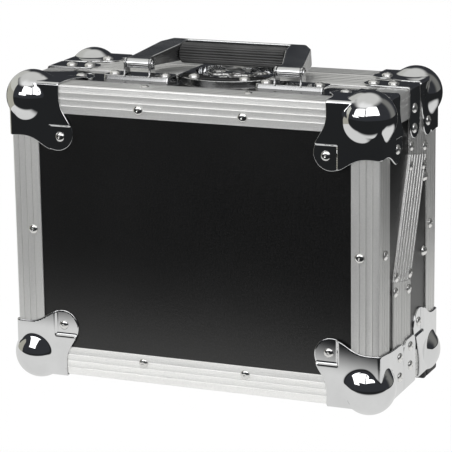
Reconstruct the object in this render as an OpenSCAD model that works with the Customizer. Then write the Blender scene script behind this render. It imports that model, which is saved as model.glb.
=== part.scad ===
// Small flight case with a stepped split line, standing on its hinge side.
// Millimetres. Z is up, -Y faces the viewer, the floor is Z = 0.

/* [Body] */
// Width over the edge profiles
body_w = 400; // [320:1:520]
// Height over the edge profiles, handle side up
body_h = 308; // [280:1:400]
// Depth over the edge profiles
body_d = 178; // [170:1:220]
// Board thickness of the panels
board_t = 7; // [5:0.5:9]

/* [Split line] */
// Distance of the split from the front face at the handle side
split_top = 118; // [110:0.5:125]
// Distance of the split from the front face at the hinge side
split_bottom = 69.5; // [60:0.5:80]
// Height of the upper bend of the split
split_hi = 236; // [200:1:245]
// Height of the lower bend of the split
split_lo = 115; // [100:1:150]

/* [Profiles] */
// Leg width of the edge profile
edge_leg = 30; // [25:0.5:32]
// Sheet thickness of the profiles
prof_t = 1.75; // [1.2:0.05:2]
// Height of the fine ribs on the profiles
rib_h = 0.5; // [0.2:0.05:0.6]
// Width of each half of the closing profile
seam_w = 27; // [20:0.5:28]

/* [Ball corners] */
// Radius of the ball
ball_r = 27.4; // [22:0.1:30]
// Distance of the ball centre from each face
ball_in = 16.8; // [14:0.1:18]
// Reach of a corner plate along an edge
plate_leg = 55; // [50:0.5:56]
// Distance of a corner rivet from both edges
pad_c = 54.5; // [52:0.5:55]
// Radius of the rounded lobe round a corner rivet
pad_r = 15; // [13:0.5:15]
// Sheet thickness of corners, braces and dishes
sheet_t = 1.5; // [1:0.1:1.5]

/* [Handle] */
// Distance of the handle axis from the front face
pivot_y = 62; // [60:0.5:64]
// Height of the handle axis above the body
pivot_h = 15; // [14:0.5:18]
// Length of the handle from its axis to its outer rim
handle_len = 71.5; // [68:0.5:82]
// Angle above level at which the handle rests
rest_tilt = 9.2; // [4:0.1:10]
// Radius of the grip
grip_r = 10.2; // [9:0.1:10.4]

/* [Latch] */
// Radius of the round bowl of the latch dish
bowl_r = 42; // [40:0.5:43]
// Distance of the bowl centre from the front face
bowl_y = 122; // [120:0.5:124]
// Distance of the turning hub from the front face
hub_y = 128; // [126:0.5:129]
// Depth of the bowl below the body top
bowl_d = 12; // [11:0.5:14]

/* [Rivets] */
// Shank radius of a blind rivet
rivet_r = 2.4; // [2:0.1:2.5]
// Head radius of a blind rivet
head_r = 4.75; // [4:0.05:5]

/* [Hidden] */
W = body_w;
H = body_h;
D = body_d;
foot = ball_r - ball_in;          // the balls stand this far out of the body
gap = 0.05;                       // between pieces that sit on each other
pin = 1.8;                        // outer face of the boards below the profile face
bin = pin + board_t;              // inner face of the boards
out1 = rib_h + gap;               // underside of a plate that sits on ribs
out2 = out1 + sheet_t;            // outside of such a plate
web = bin + 0.5;                  // how far the closing profile reaches inwards
slope = atan((split_top - split_bottom) / (split_hi - split_lo));
tilt = tan(slope / 2);
hinge_x = 95;
hinge_z = -4.2;
key_z = H - bowl_d;
cap_s = (head_r * head_r + 2.2 * 2.2) / 4.4;   // sphere radius of a rivet head
ribs = [1.2, 8, 15, 22, 29.2];
sribs = [1.2, 5.4, 9.6, 13.8, 18, 22.2, 26.2];
$fn = 64;

// ---------- helpers ----------
module flipx(f) { if (f) mirror([1, 0, 0]) children(); else children(); }
module flipy(f) { if (f) mirror([0, 1, 0]) children(); else children(); }
module flipz(f) { if (f) mirror([0, 0, 1]) children(); else children(); }
module place() { translate([0, -D / 2, foot]) children(); }
// 2D in (y, z), extruded along x and centred
module along_x(len) { translate([-len / 2, 0, 0]) rotate([90, 0, 90]) linear_extrude(len) children(); }
// 2D in (x, z), extruded along +y from 0
module along_y(len) { translate([0, len, 0]) rotate([90, 0, 0]) linear_extrude(len) children(); }
// point on a line that runs at distance w in front of the split, k = 0..3
function sp(k, w) = k == 0 ? [split_bottom - w, 0] : k == 1 ? [split_bottom - w, split_lo + w * tilt]
  : k == 2 ? [split_top - w, split_hi + w * tilt] : [split_top - w, H];
module strip(k, w0, w1) { polygon([sp(k, w0), sp(k + 1, w0), sp(k + 1, w1), sp(k, w1)]); }
module all_strips(w0, w1) { polygon([sp(0, w0), sp(1, w0), sp(2, w0), sp(3, w0), sp(3, w1), sp(2, w1), sp(1, w1), sp(0, w1)]); }
// 2D (y, z) shape on the right side wall, from x = x0 to x1
module side(x0, x1) { translate([x0, 0, 0]) rotate([90, 0, 90]) linear_extrude(x1 - x0) children(); }
module box(a, b) { translate(a) cube([b[0] - a[0], b[1] - a[1], b[2] - a[2]]); }

// ---------- rivets ----------
module rivet(h) {
  translate([0, 0, h + 0.04]) intersection() {
    translate([0, 0, 2.2 - cap_s]) sphere(cap_s);
    cylinder(r = head_r, h = 2.3);
  }
  translate([0, 0, -bin]) cylinder(r = rivet_r, h = bin + h + 0.3);
}
module drill() { translate([0, 0, -bin - 2]) cylinder(r = rivet_r + 0.08, h = bin + 8); }
module on_front(p) { translate([p[0], 0, p[1]]) rotate([90, 0, 0]) children(); }
module on_back(p) { translate([p[0], D, p[1]]) rotate([-90, 0, 0]) children(); }
module on_top(p) { translate([p[0], p[1], H]) children(); }
module on_bottom(p) { translate([p[0], p[1], 0]) rotate([180, 0, 0]) children(); }
module on_right(p) { translate([W / 2, p[0], p[1]]) rotate([0, 90, 0]) children(); }
module on_left(p) { translate([-W / 2, p[0], p[1]]) rotate([0, -90, 0]) children(); }

hp = rib_h + 0.02;        // seat on a ribbed profile
pd = -0.25;               // seat on a stepped down corner pad
pl = out2;                // seat on a plate that lies on ribs
cx = W / 2 - pad_c;
// [u, v, seat]
lid_front = [[-56.6, H - 21.4, hp], [56.6, H - 21.4, hp], [-56.6, 21.4, hp], [56.6, 21.4, hp],
  [-W / 2 + 21, 154, hp], [W / 2 - 21, 154, hp],
  [-cx, pad_c, pd], [cx, pad_c, pd], [-cx, H - pad_c, pd], [cx, H - pad_c, pd]];
lid_top = [[-56.2, 17, hp], [56.2, 17, hp], [-cx, pad_c, pd], [cx, pad_c, pd],
  [-W / 2 + 20.5, 101, pl], [-W / 2 + 41.5, 101, pl], [W / 2 - 20.5, 101, pl], [W / 2 - 41.5, 101, pl]];
lid_top_extra = [[-113, 67, 2.5], [-56, 67, 2.5], [56, 67, 2.5], [113, 67, 2.5], [-28, 77, 2.05], [28, 77, 2.05]];
lid_bottom = [[-45, 14, hp], [45, 14, hp], [-W / 2 + 38, 57, pl], [-W / 2 + 18, 57, pl], [W / 2 - 38, 57, pl], [W / 2 - 18, 57, pl]];
hinge_holes_x = [-22, 0, 22];
lid_side = [[15, 155, hp], [pad_c, H - pad_c, pd], [57, 38, pl], [57, 17.5, pl], [100, H - 21, pl], [100, H - 41.5, pl],
  [split_bottom - 22.3, split_lo - 6, hp], [split_bottom - 20.5, split_lo + 9, hp],
  [split_top - 25, split_hi - 7, hp], [split_top - 22.6, split_hi + 13, hp]];
base_back = [[-56.6, H - 21.4, hp], [56.6, H - 21.4, hp], [-56.6, 21.4, hp], [56.6, 21.4, hp],
  [-W / 2 + 21, 154, hp], [W / 2 - 21, 154, hp],
  [-cx, pad_c, pd], [cx, pad_c, pd], [-cx, H - pad_c, pd], [cx, H - pad_c, pd]];
base_top = [[-W / 2 + 42, D - 33.5, pl], [W / 2 - 42, D - 33.5, pl]];
base_top_extra = [[-37, 160, 2.05], [37, 160, 2.05]];
base_bottom = [[-45, D - 14, hp], [45, D - 14, hp], [-cx, D - pad_c, pd], [cx, D - pad_c, pd],
  [-W / 2 + 41, 90.5, pl], [-W / 2 + 20.5, 90.5, pl], [W / 2 - 41, 90.5, pl], [W / 2 - 20.5, 90.5, pl]];
base_side = [[D - 21, 155, hp], [D - pad_c, pad_c, pd], [D - 33.5, H - 42, pl], [90.5, 41, pl], [90.5, 20.5, pl],
  [split_bottom + 19.5, split_lo - 13, hp], [split_bottom + 22.3, split_lo + 3, hp],
  [split_top + 16.2, split_hi - 14, hp], [split_top + 20, split_hi + 5, hp]];
bolts = [[D - 35.8, 208], [D - 35.8, 129]];

module put(list, face) {
  for (p = list) {
    if (face == 0) on_front(p) rivet(p[2]);
    if (face == 1) on_back(p) rivet(p[2]);
    if (face == 2) on_top(p) rivet(p[2]);
    if (face == 3) on_bottom(p) rivet(p[2]);
    if (face == 4) { on_left(p) rivet(p[2]); on_right(p) rivet(p[2]); }
  }
}
module bore(list, face) {
  for (p = list) {
    if (face == 0) on_front(p) drill();
    if (face == 1) on_back(p) drill();
    if (face == 2) on_top(p) drill();
    if (face == 3) on_bottom(p) drill();
    if (face == 4) on_left(p) drill();
    if (face == 5) on_right(p) drill();
  }
}
module hinge_spots(front) {
  for (s = [-1, 1]) for (x = hinge_holes_x)
    translate([s * hinge_x + x, front ? split_bottom - 15.5 : split_bottom + 15.5, 0]) rotate([180, 0, 0]) children();
}

// ---------- boards ----------
black = [0.06, 0.06, 0.065];
alu = [0.75, 0.76, 0.77];
steel = [0.82, 0.83, 0.84];

module face_board() {
  difference() {
    box([-W / 2 + pin, pin, pin], [W / 2 - pin, bin, H - pin]);
    for (f = [false, true]) for (g = [0, H]) flipx(f) translate([W / 2 - pin, 0, g == 0 ? pin : H - pin]) rotate([0, 45, 0]) cube([5, 40, 5], center = true);
  }
}
module lid_face_panel() { color(black) place() difference() { face_board(); bore(lid_front, 0); } }
module base_face_panel() { color(black) place() difference() { translate([0, D, 0]) flipy(true) face_board(); bore(base_back, 1); } }

module lid_side_2d() {
  intersection() {
    polygon([[bin + gap, pin], [bin + gap, H - pin], [split_top + 20, H - pin], [split_top + 20, pin]]);
    polygon([[0, 0], sp(0, 2.05), sp(1, 2.05), sp(2, 2.05), sp(3, 2.05), [0, H]]);
  }
}
module base_side_2d() {
  intersection() {
    polygon([[D - bin - gap, pin], [D - bin - gap, H - pin], [40, H - pin], [40, pin]]);
    polygon([[D, 0], sp(0, -4.75), sp(1, -4.75), sp(2, -4.75), sp(3, -4.75), [D, H]]);
  }
}
module lid_right_wall() { color(black) place() difference() { side(W / 2 - bin, W / 2 - pin) lid_side_2d(); bore(lid_side, 5); } }
module lid_left_wall() { color(black) place() difference() { flipx(true) side(W / 2 - bin, W / 2 - pin) lid_side_2d(); bore(lid_side, 4); } }
module bolt_holes(face) { for (p = bolts) { if (face == 4) on_left(p) translate([0, 0, -12]) cylinder(r = 3.1, h = 20);
  if (face == 5) on_right(p) translate([0, 0, -12]) cylinder(r = 3.1, h = 20); } }
module base_right_wall() { color(black) place() difference() { side(W / 2 - bin, W / 2 - pin) base_side_2d(); bore(base_side, 5); bolt_holes(5); } }
module base_left_wall() { color(black) place() difference() { flipx(true) side(W / 2 - bin, W / 2 - pin) base_side_2d(); bore(base_side, 4); bolt_holes(4); } }
xin = W / 2 - bin - gap;
module bowl_cut() { translate([0, bowl_y, H - 40]) cylinder(r = bowl_r + 1.6, h = 60); }
module lid_top_wall() { color(black) place() difference() {
  box([-xin, bin + gap, H - bin], [xin, split_top - 2.05, H - pin]);
  bowl_cut(); bore(lid_top, 2); bore(lid_top_extra, 2); } }
module lid_bottom_wall() { color(black) place() difference() {
  box([-xin, bin + gap, pin], [xin, split_bottom - 2.05, bin]);
  bore(lid_bottom, 3); hinge_spots(true) drill(); } }
module base_top_wall() { color(black) place() difference() {
  box([-xin, split_top + 4.75, H - bin], [xin, D - bin - gap, H - pin]);
  bowl_cut(); bore(base_top, 2); bore(base_top_extra, 2); } }
module base_bottom_wall() { color(black) place() difference() {
  box([-xin, split_bottom + 4.75, pin], [xin, D - bin - gap, bin]);
  bore(base_bottom, 3); hinge_spots(false) drill(); } }

// ---------- edge profiles ----------
module ell() {
  square([edge_leg, prof_t]);
  square([prof_t, edge_leg]);
  for (r = ribs) { translate([r - 0.5, -rib_h]) square([1, rib_h + 0.2]); translate([-rib_h, r - 0.5]) square([rib_h + 0.2, 1]); }
}
ex = W - 62;
ez = H - 62;
module edge_top_bar() { along_x(ex) translate([0, H]) flipy(true) ell(); }
module edge_bottom_bar() { along_x(ex) ell(); }
module edge_side_bar(right) { flipx(right) translate([-W / 2, 0, 31]) linear_extrude(ez) ell(); }
module back() { translate([0, D, 0]) flipy(true) children(); }
module lid_edge_top() { color(alu) place() difference() { edge_top_bar(); bore(lid_front, 0); bore(lid_top, 2); } }
module lid_edge_bottom() { color(alu) place() difference() { edge_bottom_bar(); bore(lid_front, 0); bore(lid_bottom, 3); } }
module lid_edge_left() { color(alu) place() difference() { edge_side_bar(false); bore(lid_front, 0); bore(lid_side, 4); } }
module lid_edge_right() { color(alu) place() difference() { edge_side_bar(true); bore(lid_front, 0); bore(lid_side, 5); } }
module base_edge_top() { color(alu) place() difference() { back() edge_top_bar(); bowl_cut(); bore(base_back, 1); bore(base_top, 2); bore(base_top_extra, 2); } }
module base_edge_bottom() { color(alu) place() difference() { back() edge_bottom_bar(); bore(base_back, 1); bore(base_bottom, 3); } }
module base_edge_left() { color(alu) place() difference() { back() edge_side_bar(false); bore(base_back, 1); bore(base_side, 4); } }
module base_edge_right() { color(alu) place() difference() { back() edge_side_bar(true); bore(base_back, 1); bore(base_side, 5); } }
module angle_bar(right, top, y0, y1) { translate([0, y0, 0]) flipx(right) translate([-W / 2, 0, 0])
  translate([0, 0, top ? H : 0]) along_y(y1 - y0) flipy(top) ell(); }
module lid_corner_angles() { color(alu) place() difference() {
  union() for (r = [false, true]) { angle_bar(r, true, 31, split_top - seam_w - 0.1); angle_bar(r, false, 31, split_bottom - seam_w - 0.1); }
  bore(lid_bottom, 3); } }
module base_corner_angles() { color(alu) place() difference() {
  union() for (r = [false, true]) angle_bar(r, false, split_bottom + seam_w + 0.1, D - 31);
  bore(base_bottom, 3); bore(base_side, 4); bore(base_side, 5); } }

// ---------- closing profile ----------
// s = 1 is the lid half in front of the split, s = -1 the base half behind it
module seam_side(s) {
  for (k = [0, 1, 2]) {
    side(W / 2 - prof_t, W / 2) strip(k, s * 0.15, s * seam_w);
    for (r = sribs) side(W / 2 - 0.2, W / 2 + rib_h) strip(k, s * (r - 0.45), s * (r + 0.45));
  }
}
module trim_z() { translate([0, -50, 0]) square([D + 100, H]); }
module seam_right(s) {
  difference() {
    union() {
      seam_side(s);
      side(W / 2 - web, W / 2 - prof_t + 0.1) intersection() { all_strips(s * 0.15, s > 0 ? 1.95 : -4.65); translate([0, prof_t + 0.05]) square([D, H - 2 * prof_t - 0.1]); }
      if (s > 0) side(W / 2 - 7, W / 2 - 4.6) intersection() { all_strips(-2, 0.3); translate([0, 14]) square([D, H - 28]); }
    }
    if (s < 0) side(W / 2 - 7.5, W / 2 - 4.1) intersection() { all_strips(-2.6, 0.1); translate([0, 12]) square([D, H - 12 - prof_t]); }
    // thin mitre lines at the two bends
    for (k = [1, 2]) side(W / 2 - prof_t - 12, W / 2 + 1) polygon([sp(k, s > 0 ? -2.5 : -0.1), sp(k, s * (seam_w + 1)),
      sp(k, s * (seam_w + 1)) + [0, 0.25], sp(k, s > 0 ? -2.5 : -0.1) + [0, 0.25]]);
  }
}
module seam_flat(s, yc, top) {
  // yc is the split position; built for the bottom, flipped for the top
  y0 = s > 0 ? yc - seam_w : yc + 0.15;
  y1 = s > 0 ? yc - 0.15 : yc + seam_w;
  xb = W / 2 - prof_t - gap;
  xw = W / 2 - web - gap;
  translate([0, 0, top ? H : 0]) flipz(top) {
    box([-xb, y0, 0], [xb, y1, prof_t]);
    for (r = sribs) box([-xb, yc - s * r - 0.45, -rib_h], [xb, yc - s * r + 0.45, 0.2]);
    difference() {
      box([-xw, s > 0 ? yc - 1.95 : yc + 0.15, prof_t - 0.1], [xw, s > 0 ? yc - 0.15 : yc + 4.65, web]);
      if (s < 0 && top) box([-xw - 1, yc, 4.1], [xw + 1, yc + 2.6, 7.5]);
    }
    if (s > 0 && top) box([-xw, yc - 0.3, 4.6], [xw, yc + 2, 7]);
  }
}
module lid_seam_top() { color(alu) place() difference() { seam_flat(1, split_top, true); bowl_cut(); bore(lid_top, 2); } }
module lid_seam_bottom() { color(alu) place() difference() { seam_flat(1, split_bottom, false); bore(lid_bottom, 3); hinge_spots(true) drill(); } }
module lid_seam_left() { color(alu) place() difference() { flipx(true) seam_right(1); bore(lid_side, 4); } }
module lid_seam_right() { color(alu) place() difference() { seam_right(1); bore(lid_side, 5); } }
module base_seam_top() { color(alu) place() difference() { seam_flat(-1, split_top, true); bowl_cut(); bore(base_top, 2); } }
module base_seam_bottom() { color(alu) place() difference() { seam_flat(-1, split_bottom, false); bore(base_bottom, 3); hinge_spots(false) drill(); } }
module base_seam_left() { color(alu) place() difference() { flipx(true) seam_right(-1); bore(base_side, 4); } }
module base_seam_right() { color(alu) place() difference() { seam_right(-1); bore(base_side, 5); } }

// ---------- ball corners ----------
// corner frame: a from the side face, b from the front or back face, c from the top or bottom
fr = 14;
fb = pad_c - sqrt(pow(pad_r + fr, 2) - pow(plate_leg + fr - pad_c, 2));
module std2d() {
  difference() {
    union() {
      translate([-out2, -out2]) square([plate_leg + out2, plate_leg + out2]);
      translate([pad_c, pad_c]) circle(r = pad_r);
      polygon([[plate_leg - 1, fb], [plate_leg + fr, fb], [pad_c, pad_c]]);
      polygon([[fb, plate_leg - 1], [fb, plate_leg + fr], [pad_c, pad_c]]);
    }
    translate([plate_leg + fr, fb]) circle(r = fr);
    translate([fb, plate_leg + fr]) circle(r = fr);
  }
}
module pad_square(m) { translate([45 + m, 45 + m]) square([60, 60]); }
module std_plate() {
  difference() {
    union() {
      translate([0, 0, -out2]) linear_extrude(sheet_t) difference() { std2d(); pad_square(sheet_t); }
      translate([0, 0, -out2]) linear_extrude(out2 + 1.75) intersection() { std2d(); difference() { pad_square(0); pad_square(sheet_t); } }
      translate([0, 0, 0.25]) linear_extrude(sheet_t) intersection() { std2d(); pad_square(0); }
    }
    translate([pad_c, pad_c, -10]) cylinder(r = rivet_r + 0.08, h = 20);
  }
}
// plate cut back at the split: u along b, v along the other edge
module short2d() {
  translate([-out2, -out2]) square([56.5 + out2, 18 + out2]);
  translate([-out2, -out2]) square([33 + out2, 55.5 + out2]);
  polygon([[56.5, 17.9], [47.6, 45], [33, 42], [32.9, 17.9]]);
  translate([33, 42]) circle(r = pad_r);
}
module short_plate() { difference() { translate([0, 0, -out2]) linear_extrude(sheet_t) short2d();
  translate([33.5, 42, -10]) cylinder(r = rivet_r + 0.08, h = 20); } }
// long plate that reaches the split, u along b
module long2d() { difference() { translate([-out2, -out2]) square([split_bottom - 0.2 + out2, 51.5 + out2]);
  translate([split_bottom - 0.2 - 7, 51.5 - 7]) difference() { square([8, 8]); circle(r = 7); } } }
module long_plate() { difference() { translate([0, 0, -out2]) linear_extrude(sheet_t) long2d();
  for (v = [17.5, 38]) translate([57, v, -10]) cylinder(r = rivet_r + 0.08, h = 20);
  for (v = [18, 38]) translate([57, v, -10]) cylinder(r = rivet_r + 0.08, h = 20); } }
module to_a() { rotate([90, 0, 90]) children(); }            // (u, v) become (b, c)
module to_b() { rotate([90, 0, 90]) rotate([90, 0, 90]) children(); } // (u, v) become (c, a)
module swap() { mirror([1, -1, 0]) children(); }
module ball(flat) {
  difference() {
    translate([ball_in, ball_in, ball_in]) difference() { sphere(ball_r); sphere(ball_r - sheet_t); }
    translate([-out1, -out1, -out1]) cube([90, 90, 90]);
    if (flat) translate([-60, -60, -out2 - 80]) cube([160, 160, 80]);
  }
  if (flat) translate([ball_in, ball_in, -out2]) cylinder(r = sqrt(ball_r * ball_r - pow(ball_in + out2, 2)) - 0.02, h = sheet_t);
}
// the corner of the box, which the ball replaces
module nose() { difference() { translate([-5, -5, -5]) cube(5 + ball_in); translate([ball_in, ball_in, ball_in]) sphere(ball_r - 0.3); } }
module corner_piece(kind) {
  // kind 0 = standard, 1 = long legs at the split, 2 = cut back at the split, 3 = standard with a flat underside
  difference() {
    union() {
      to_b() std_plate();
      if (kind == 0 || kind == 3) { std_plate(); to_a() std_plate(); }
      if (kind == 1) { swap() long_plate(); to_a() long_plate(); }
      if (kind == 2) { swap() short_plate(); to_a() short_plate(); }
    }
    if (kind == 3) intersection() { translate([ball_in, ball_in, ball_in]) sphere(ball_r - sheet_t); translate([-30, -30, -out1]) cube([90, 90, 90]); }
    else translate([ball_in, ball_in, ball_in]) sphere(ball_r - sheet_t);
    nose();
  }
  ball(kind == 3);
}
module at_corner(right, rear, top) {
  translate([right ? W / 2 : -W / 2, rear ? D : 0, top ? H : 0]) flipx(right) flipy(rear) flipz(top) children();
}
module lid_ball_top_left() { color(steel) place() at_corner(false, false, true) corner_piece(0); }
module lid_ball_top_right() { color(steel) place() at_corner(true, false, true) corner_piece(0); }
module lid_ball_bottom_left() { color(steel) place() at_corner(false, false, false) corner_piece(1); }
module lid_ball_bottom_right() { color(steel) place() at_corner(true, false, false) corner_piece(1); }
module base_ball_top_left() { color(steel) place() at_corner(false, true, true) corner_piece(2); }
module base_ball_top_right() { color(steel) place() at_corner(true, true, true) corner_piece(2); }
module base_ball_bottom_left() { color(steel) place() at_corner(false, true, false) corner_piece(3); }
module base_ball_bottom_right() { color(steel) place() at_corner(true, true, false) corner_piece(3); }

// ---------- braces ----------
// built at the bottom right corner: (u = y, v = distance from the corner)
module brace2d(y0, y1, len, r) {
  translate([y0, -out2]) square([y1 - y0, len - r + out2]);
  translate([y0 + r, 0]) square([y1 - y0 - 2 * r, len]);
  translate([y0 + r, len - r]) circle(r = r);
  translate([y1 - r, len - r]) circle(r = r);
}
module brace(y0, y1, len, r) {
  translate([W / 2 + out1, 0, 0]) rotate([90, 0, 90]) linear_extrude(sheet_t) brace2d(y0, y1, len, r);
  translate([W / 2, 0, -out2]) rotate([0, 0, 90]) linear_extrude(sheet_t) brace2d(y0, y1, len, r);
}
module lid_braces() { color(steel) place() difference() {
  union() for (f = [false, true]) flipx(f) translate([0, 0, H]) flipz(true) brace(split_top - 31, split_top - 0.35, 52, 15);
  bore(lid_top, 2); bore(lid_side, 4); bore(lid_side, 5); } }
module base_braces() { color(steel) place() difference() {
  union() for (f = [false, true]) flipx(f) brace(split_bottom + 0.5, split_bottom + 38.5, 51.4, 10);
  bore(base_bottom, 3); bore(base_side, 4); bore(base_side, 5); } }

// ---------- rivet groups ----------
module lid_rivets() { color(steel) place() {
  put(lid_front, 0); put(lid_top, 2); put(lid_top_extra, 2); put(lid_bottom, 3); put(lid_side, 4);
  hinge_spots(true) rivet(out2); } }
module base_rivets() { color(steel) place() {
  put(base_back, 1); put(base_top, 2); put(base_top_extra, 2); put(base_bottom, 3); put(base_side, 4);
  hinge_spots(false) rivet(out2); } }
module side_bolt() {
  translate([0, 0, -pin + 0.03]) intersection() { translate([0, 0, 4.1 - 5.8]) sphere(5.8); cylinder(r = 5.54, h = 5.2); }
  translate([0, 0, -bin - 5]) cylinder(r = 3, h = bin + 5);
  translate([0, 0, -bin - 4.05]) cylinder(r = 5.5, h = 4);
}
module side_bolts() { color(steel) place() for (p = bolts) { on_left(p) side_bolt(); on_right(p) side_bolt(); } }

// ---------- hinges ----------
module knuckle(x0, x1) { translate([x0, split_bottom, hinge_z]) rotate([0, 90, 0]) difference() { cylinder(r = 3.1, h = x1 - x0); translate([0, 0, -1]) cylinder(r = 1.56, h = x1 - x0 + 2); } }
module lid_leaf() {
  difference() {
    union() {
      box([-30, split_bottom - 24, -out2], [30, split_bottom - 0.5, -out1]);
      knuckle(-29.9, -18.3); knuckle(-5.7, 5.7); knuckle(18.3, 29.9);
    }
    for (x = [-18, 6]) box([x, split_bottom - 4.2, -12], [x + 12, split_bottom + 5, 2]);
    translate([-40, split_bottom, hinge_z]) rotate([0, 90, 0]) cylinder(r = 1.56, h = 80);
  }
}
module base_leaf() {
  difference() {
    union() {
      box([-30, split_bottom + 0.5, -out2], [30, split_bottom + 24, -out1]);
      knuckle(-17.7, -6.3); knuckle(6.3, 17.7);
    }
    for (x = [-31, -6, 18]) box([x, split_bottom - 5, -12], [x + (x == -31 ? 13 : x == 18 ? 13 : 12), split_bottom + 4.2, 2]);
    translate([-40, split_bottom, hinge_z]) rotate([0, 90, 0]) cylinder(r = 1.56, h = 80);
  }
}
module hinge_lid_leaves() { color(steel) place() difference() { for (s = [-1, 1]) translate([s * hinge_x, 0, 0]) lid_leaf(); hinge_spots(true) drill(); } }
module hinge_base_leaves() { color(steel) place() difference() { for (s = [-1, 1]) translate([s * hinge_x, 0, 0]) base_leaf(); hinge_spots(false) drill(); } }
module hinge_pins() { color(steel) place() for (s = [-1, 1]) translate([s * hinge_x - 30.4, split_bottom, hinge_z]) rotate([0, 90, 0]) {
  cylinder(r = 1.5, h = 60.8); translate([0, 0, -0.8]) cylinder(r = 2.6, h = 0.9); translate([0, 0, 60.7]) cylinder(r = 2.6, h = 0.9); } }

// ---------- feet under the rear bottom corners ----------
module rubber_foot() {
  difference() {
    box([W / 2 - 43, 145, -foot], [W / 2 - 0.8, 188, -out2 - 0.05]);
    box([W / 2 - 50, 152.5, -foot - 1], [W / 2 + 1, 156.5, -foot + 6]);
  }
}
module rubber_feet() { color([0.04, 0.04, 0.04]) place() for (f = [false, true]) flipx(f) rubber_foot(); }

// ---------- handle ----------
ear_in = 68;
ear_out = 98;
module pan2d(x0, x1, y0, y1, r) {
  translate([x0, y0 + r]) square([x1 - x0, y1 - y0 - 2 * r]);
  translate([x0 + r, y0]) square([x1 - x0 - 2 * r, y1 - y0]);
  for (x = [x0 + r, x1 - r]) for (y = [y0 + r, y1 - r]) translate([x, y]) circle(r = r);
}
module ear() { // 2D in (y, z)
  translate([pivot_y - 7, 2.3]) square([14, 6]);
  translate([pivot_y - 5.6, 2.3]) square([11.2, pivot_h - 2.3]);
  translate([pivot_y, pivot_h]) circle(r = 5.6);
}
module bracket() {
  difference() {
    union() {
      translate([0, 0, -pin + gap]) linear_extrude(2.5 + pin - gap) pan2d(47.8, 121, 54, 80, 4);
      for (x = [ear_in, ear_out - 2]) translate([x, 0, 0]) rotate([90, 0, 90]) linear_extrude(2) ear();
    }
    translate([0, 0, -pin - 1]) linear_extrude(pin + 1.9) pan2d(49.6, 119.2, 55.8, 78.2, 2.2);
    translate([60, pivot_y, pivot_h]) rotate([0, 90, 0]) cylinder(r = 2.55, h = 50);
    for (x = [56, 113]) translate([x, 67, -5]) cylinder(r = rivet_r + 0.08, h = 12);
  }
}
module handle_bracket_right() { color(steel) place() translate([0, 0, H]) bracket(); }
module handle_bracket_left() { color(steel) place() translate([0, 0, H]) flipx(true) bracket(); }
module handle_pins() { color(steel) place() for (f = [false, true]) flipx(f) translate([ear_in - 0.8, pivot_y, H + pivot_h]) rotate([0, 90, 0]) {
  cylinder(r = 2.5, h = ear_out - ear_in + 1.6); translate([0, 0, -0.7]) cylinder(r = 3.6, h = 0.72); translate([0, 0, ear_out - ear_in + 1.58]) cylinder(r = 3.6, h = 0.72); } }
// flat handle: x, u = distance from the axis, w = height above the axis
L = handle_len;
xo = 80.7;
module plan_out() { polygon([[-95.4, -3], [95.4, -3], [95.4, 6], [xo + 3.8, L - 14], [xo - 7, L], [-xo + 7, L], [-xo - 3.8, L - 14], [-95.4, 6]]); }
module plan_in() { polygon([[-70.7, -4], [70.7, -4], [71.4, 9], [58.6, L - 19.5], [58, L - 3], [-58, L - 3], [-58.6, L - 19.5], [-71.4, 9]]); }
module arm_hollow() { for (f = [false, true]) flipx(f) polygon([[93.4, 7.5], [73.8, 10], [60.8, L - 19], [60.2, L - 2], [xo - 8.2, L - 2], [xo + 1.6, L - 14.6]]); }
module side_cut() { polygon([[-5.2, 5], [L + 1, 5], [L + 1, -11.5], [L - 22, -12.5], [9, -5], [-5.2, -5]]); } // (u, w)
module handle_flat() {
  difference() {
    union() {
      intersection() {
        translate([0, 0, -16]) linear_extrude(21) difference() { plan_out(); plan_in(); }
        rotate([90, 0, 90]) translate([0, 0, -110]) linear_extrude(220) side_cut();
        union() { translate([-110, 0, -20]) cube([220, 120, 30]); }
      }
      for (f = [false, true]) flipx(f) translate([70.6, 0, 0]) rotate([0, 90, 0]) cylinder(r = 5, h = 24.8);
      box([-60, L - 19, -8.4], [60, L - 11, -4.6]);
    }
    // hollow underside of the arms
    translate([0, 0, -20]) linear_extrude(23.2) arm_hollow();
    for (f = [false, true]) flipx(f) translate([60, 0, 0]) rotate([0, 90, 0]) cylinder(r = 2.56, h = 50);
  }
}
module lay() { translate([0, pivot_y, H + pivot_h]) rotate([rest_tilt, 0, 0]) children(); }
module handle_frame() { color(steel) place() lay() handle_flat(); }
module grip2d() { // (u, w)
  circle(r = grip_r - 0.9);
  for (i = [0:20]) rotate(i * 360 / 21) translate([grip_r - 1.5, 0]) circle(r = 1.3);
}
module handle_grip() { color([0.07, 0.07, 0.07]) place() lay() difference() {
  along_x(115.6) translate([L - 14.2, -6.3]) grip2d();
  box([-70, L - 19.06, -8.46], [70, L - 10.94, -4.54]);
} }

// ---------- latch ----------
module dish_outline() {
  intersection() { translate([0, bowl_y - 3.5]) circle(r = 62); translate([-48, 0]) square([96, 168]); }
}
module dish_half(front) {
  y0 = front ? 40 : split_top + 0.15;
  y1 = front ? split_top - 0.15 : 170;
  intersection() {
    difference() {
      union() {
        translate([0, 0, out1]) linear_extrude(sheet_t) dish_outline();
        translate([0, bowl_y, -bowl_d - 1.2]) cylinder(r = bowl_r + 1.2, h = bowl_d + 1.2 + out1 + 0.5);
      }
      translate([0, bowl_y, -bowl_d]) cylinder(r = bowl_r, h = 40);
      for (s = [-1, 1]) { translate([s * 28, 77, -5]) cylinder(r = rivet_r + 0.08, h = 12); translate([s * 37, 160, -5]) cylinder(r = rivet_r + 0.08, h = 12); }
      translate([0, hub_y, -40]) cylinder(r = 4.56, h = 60);
      translate([0, hub_y - 24, -40]) cylinder(r = 2.05, h = 60);
    }
    box([-60, y0, -40], [60, y1, 20]);
  }
}
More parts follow.
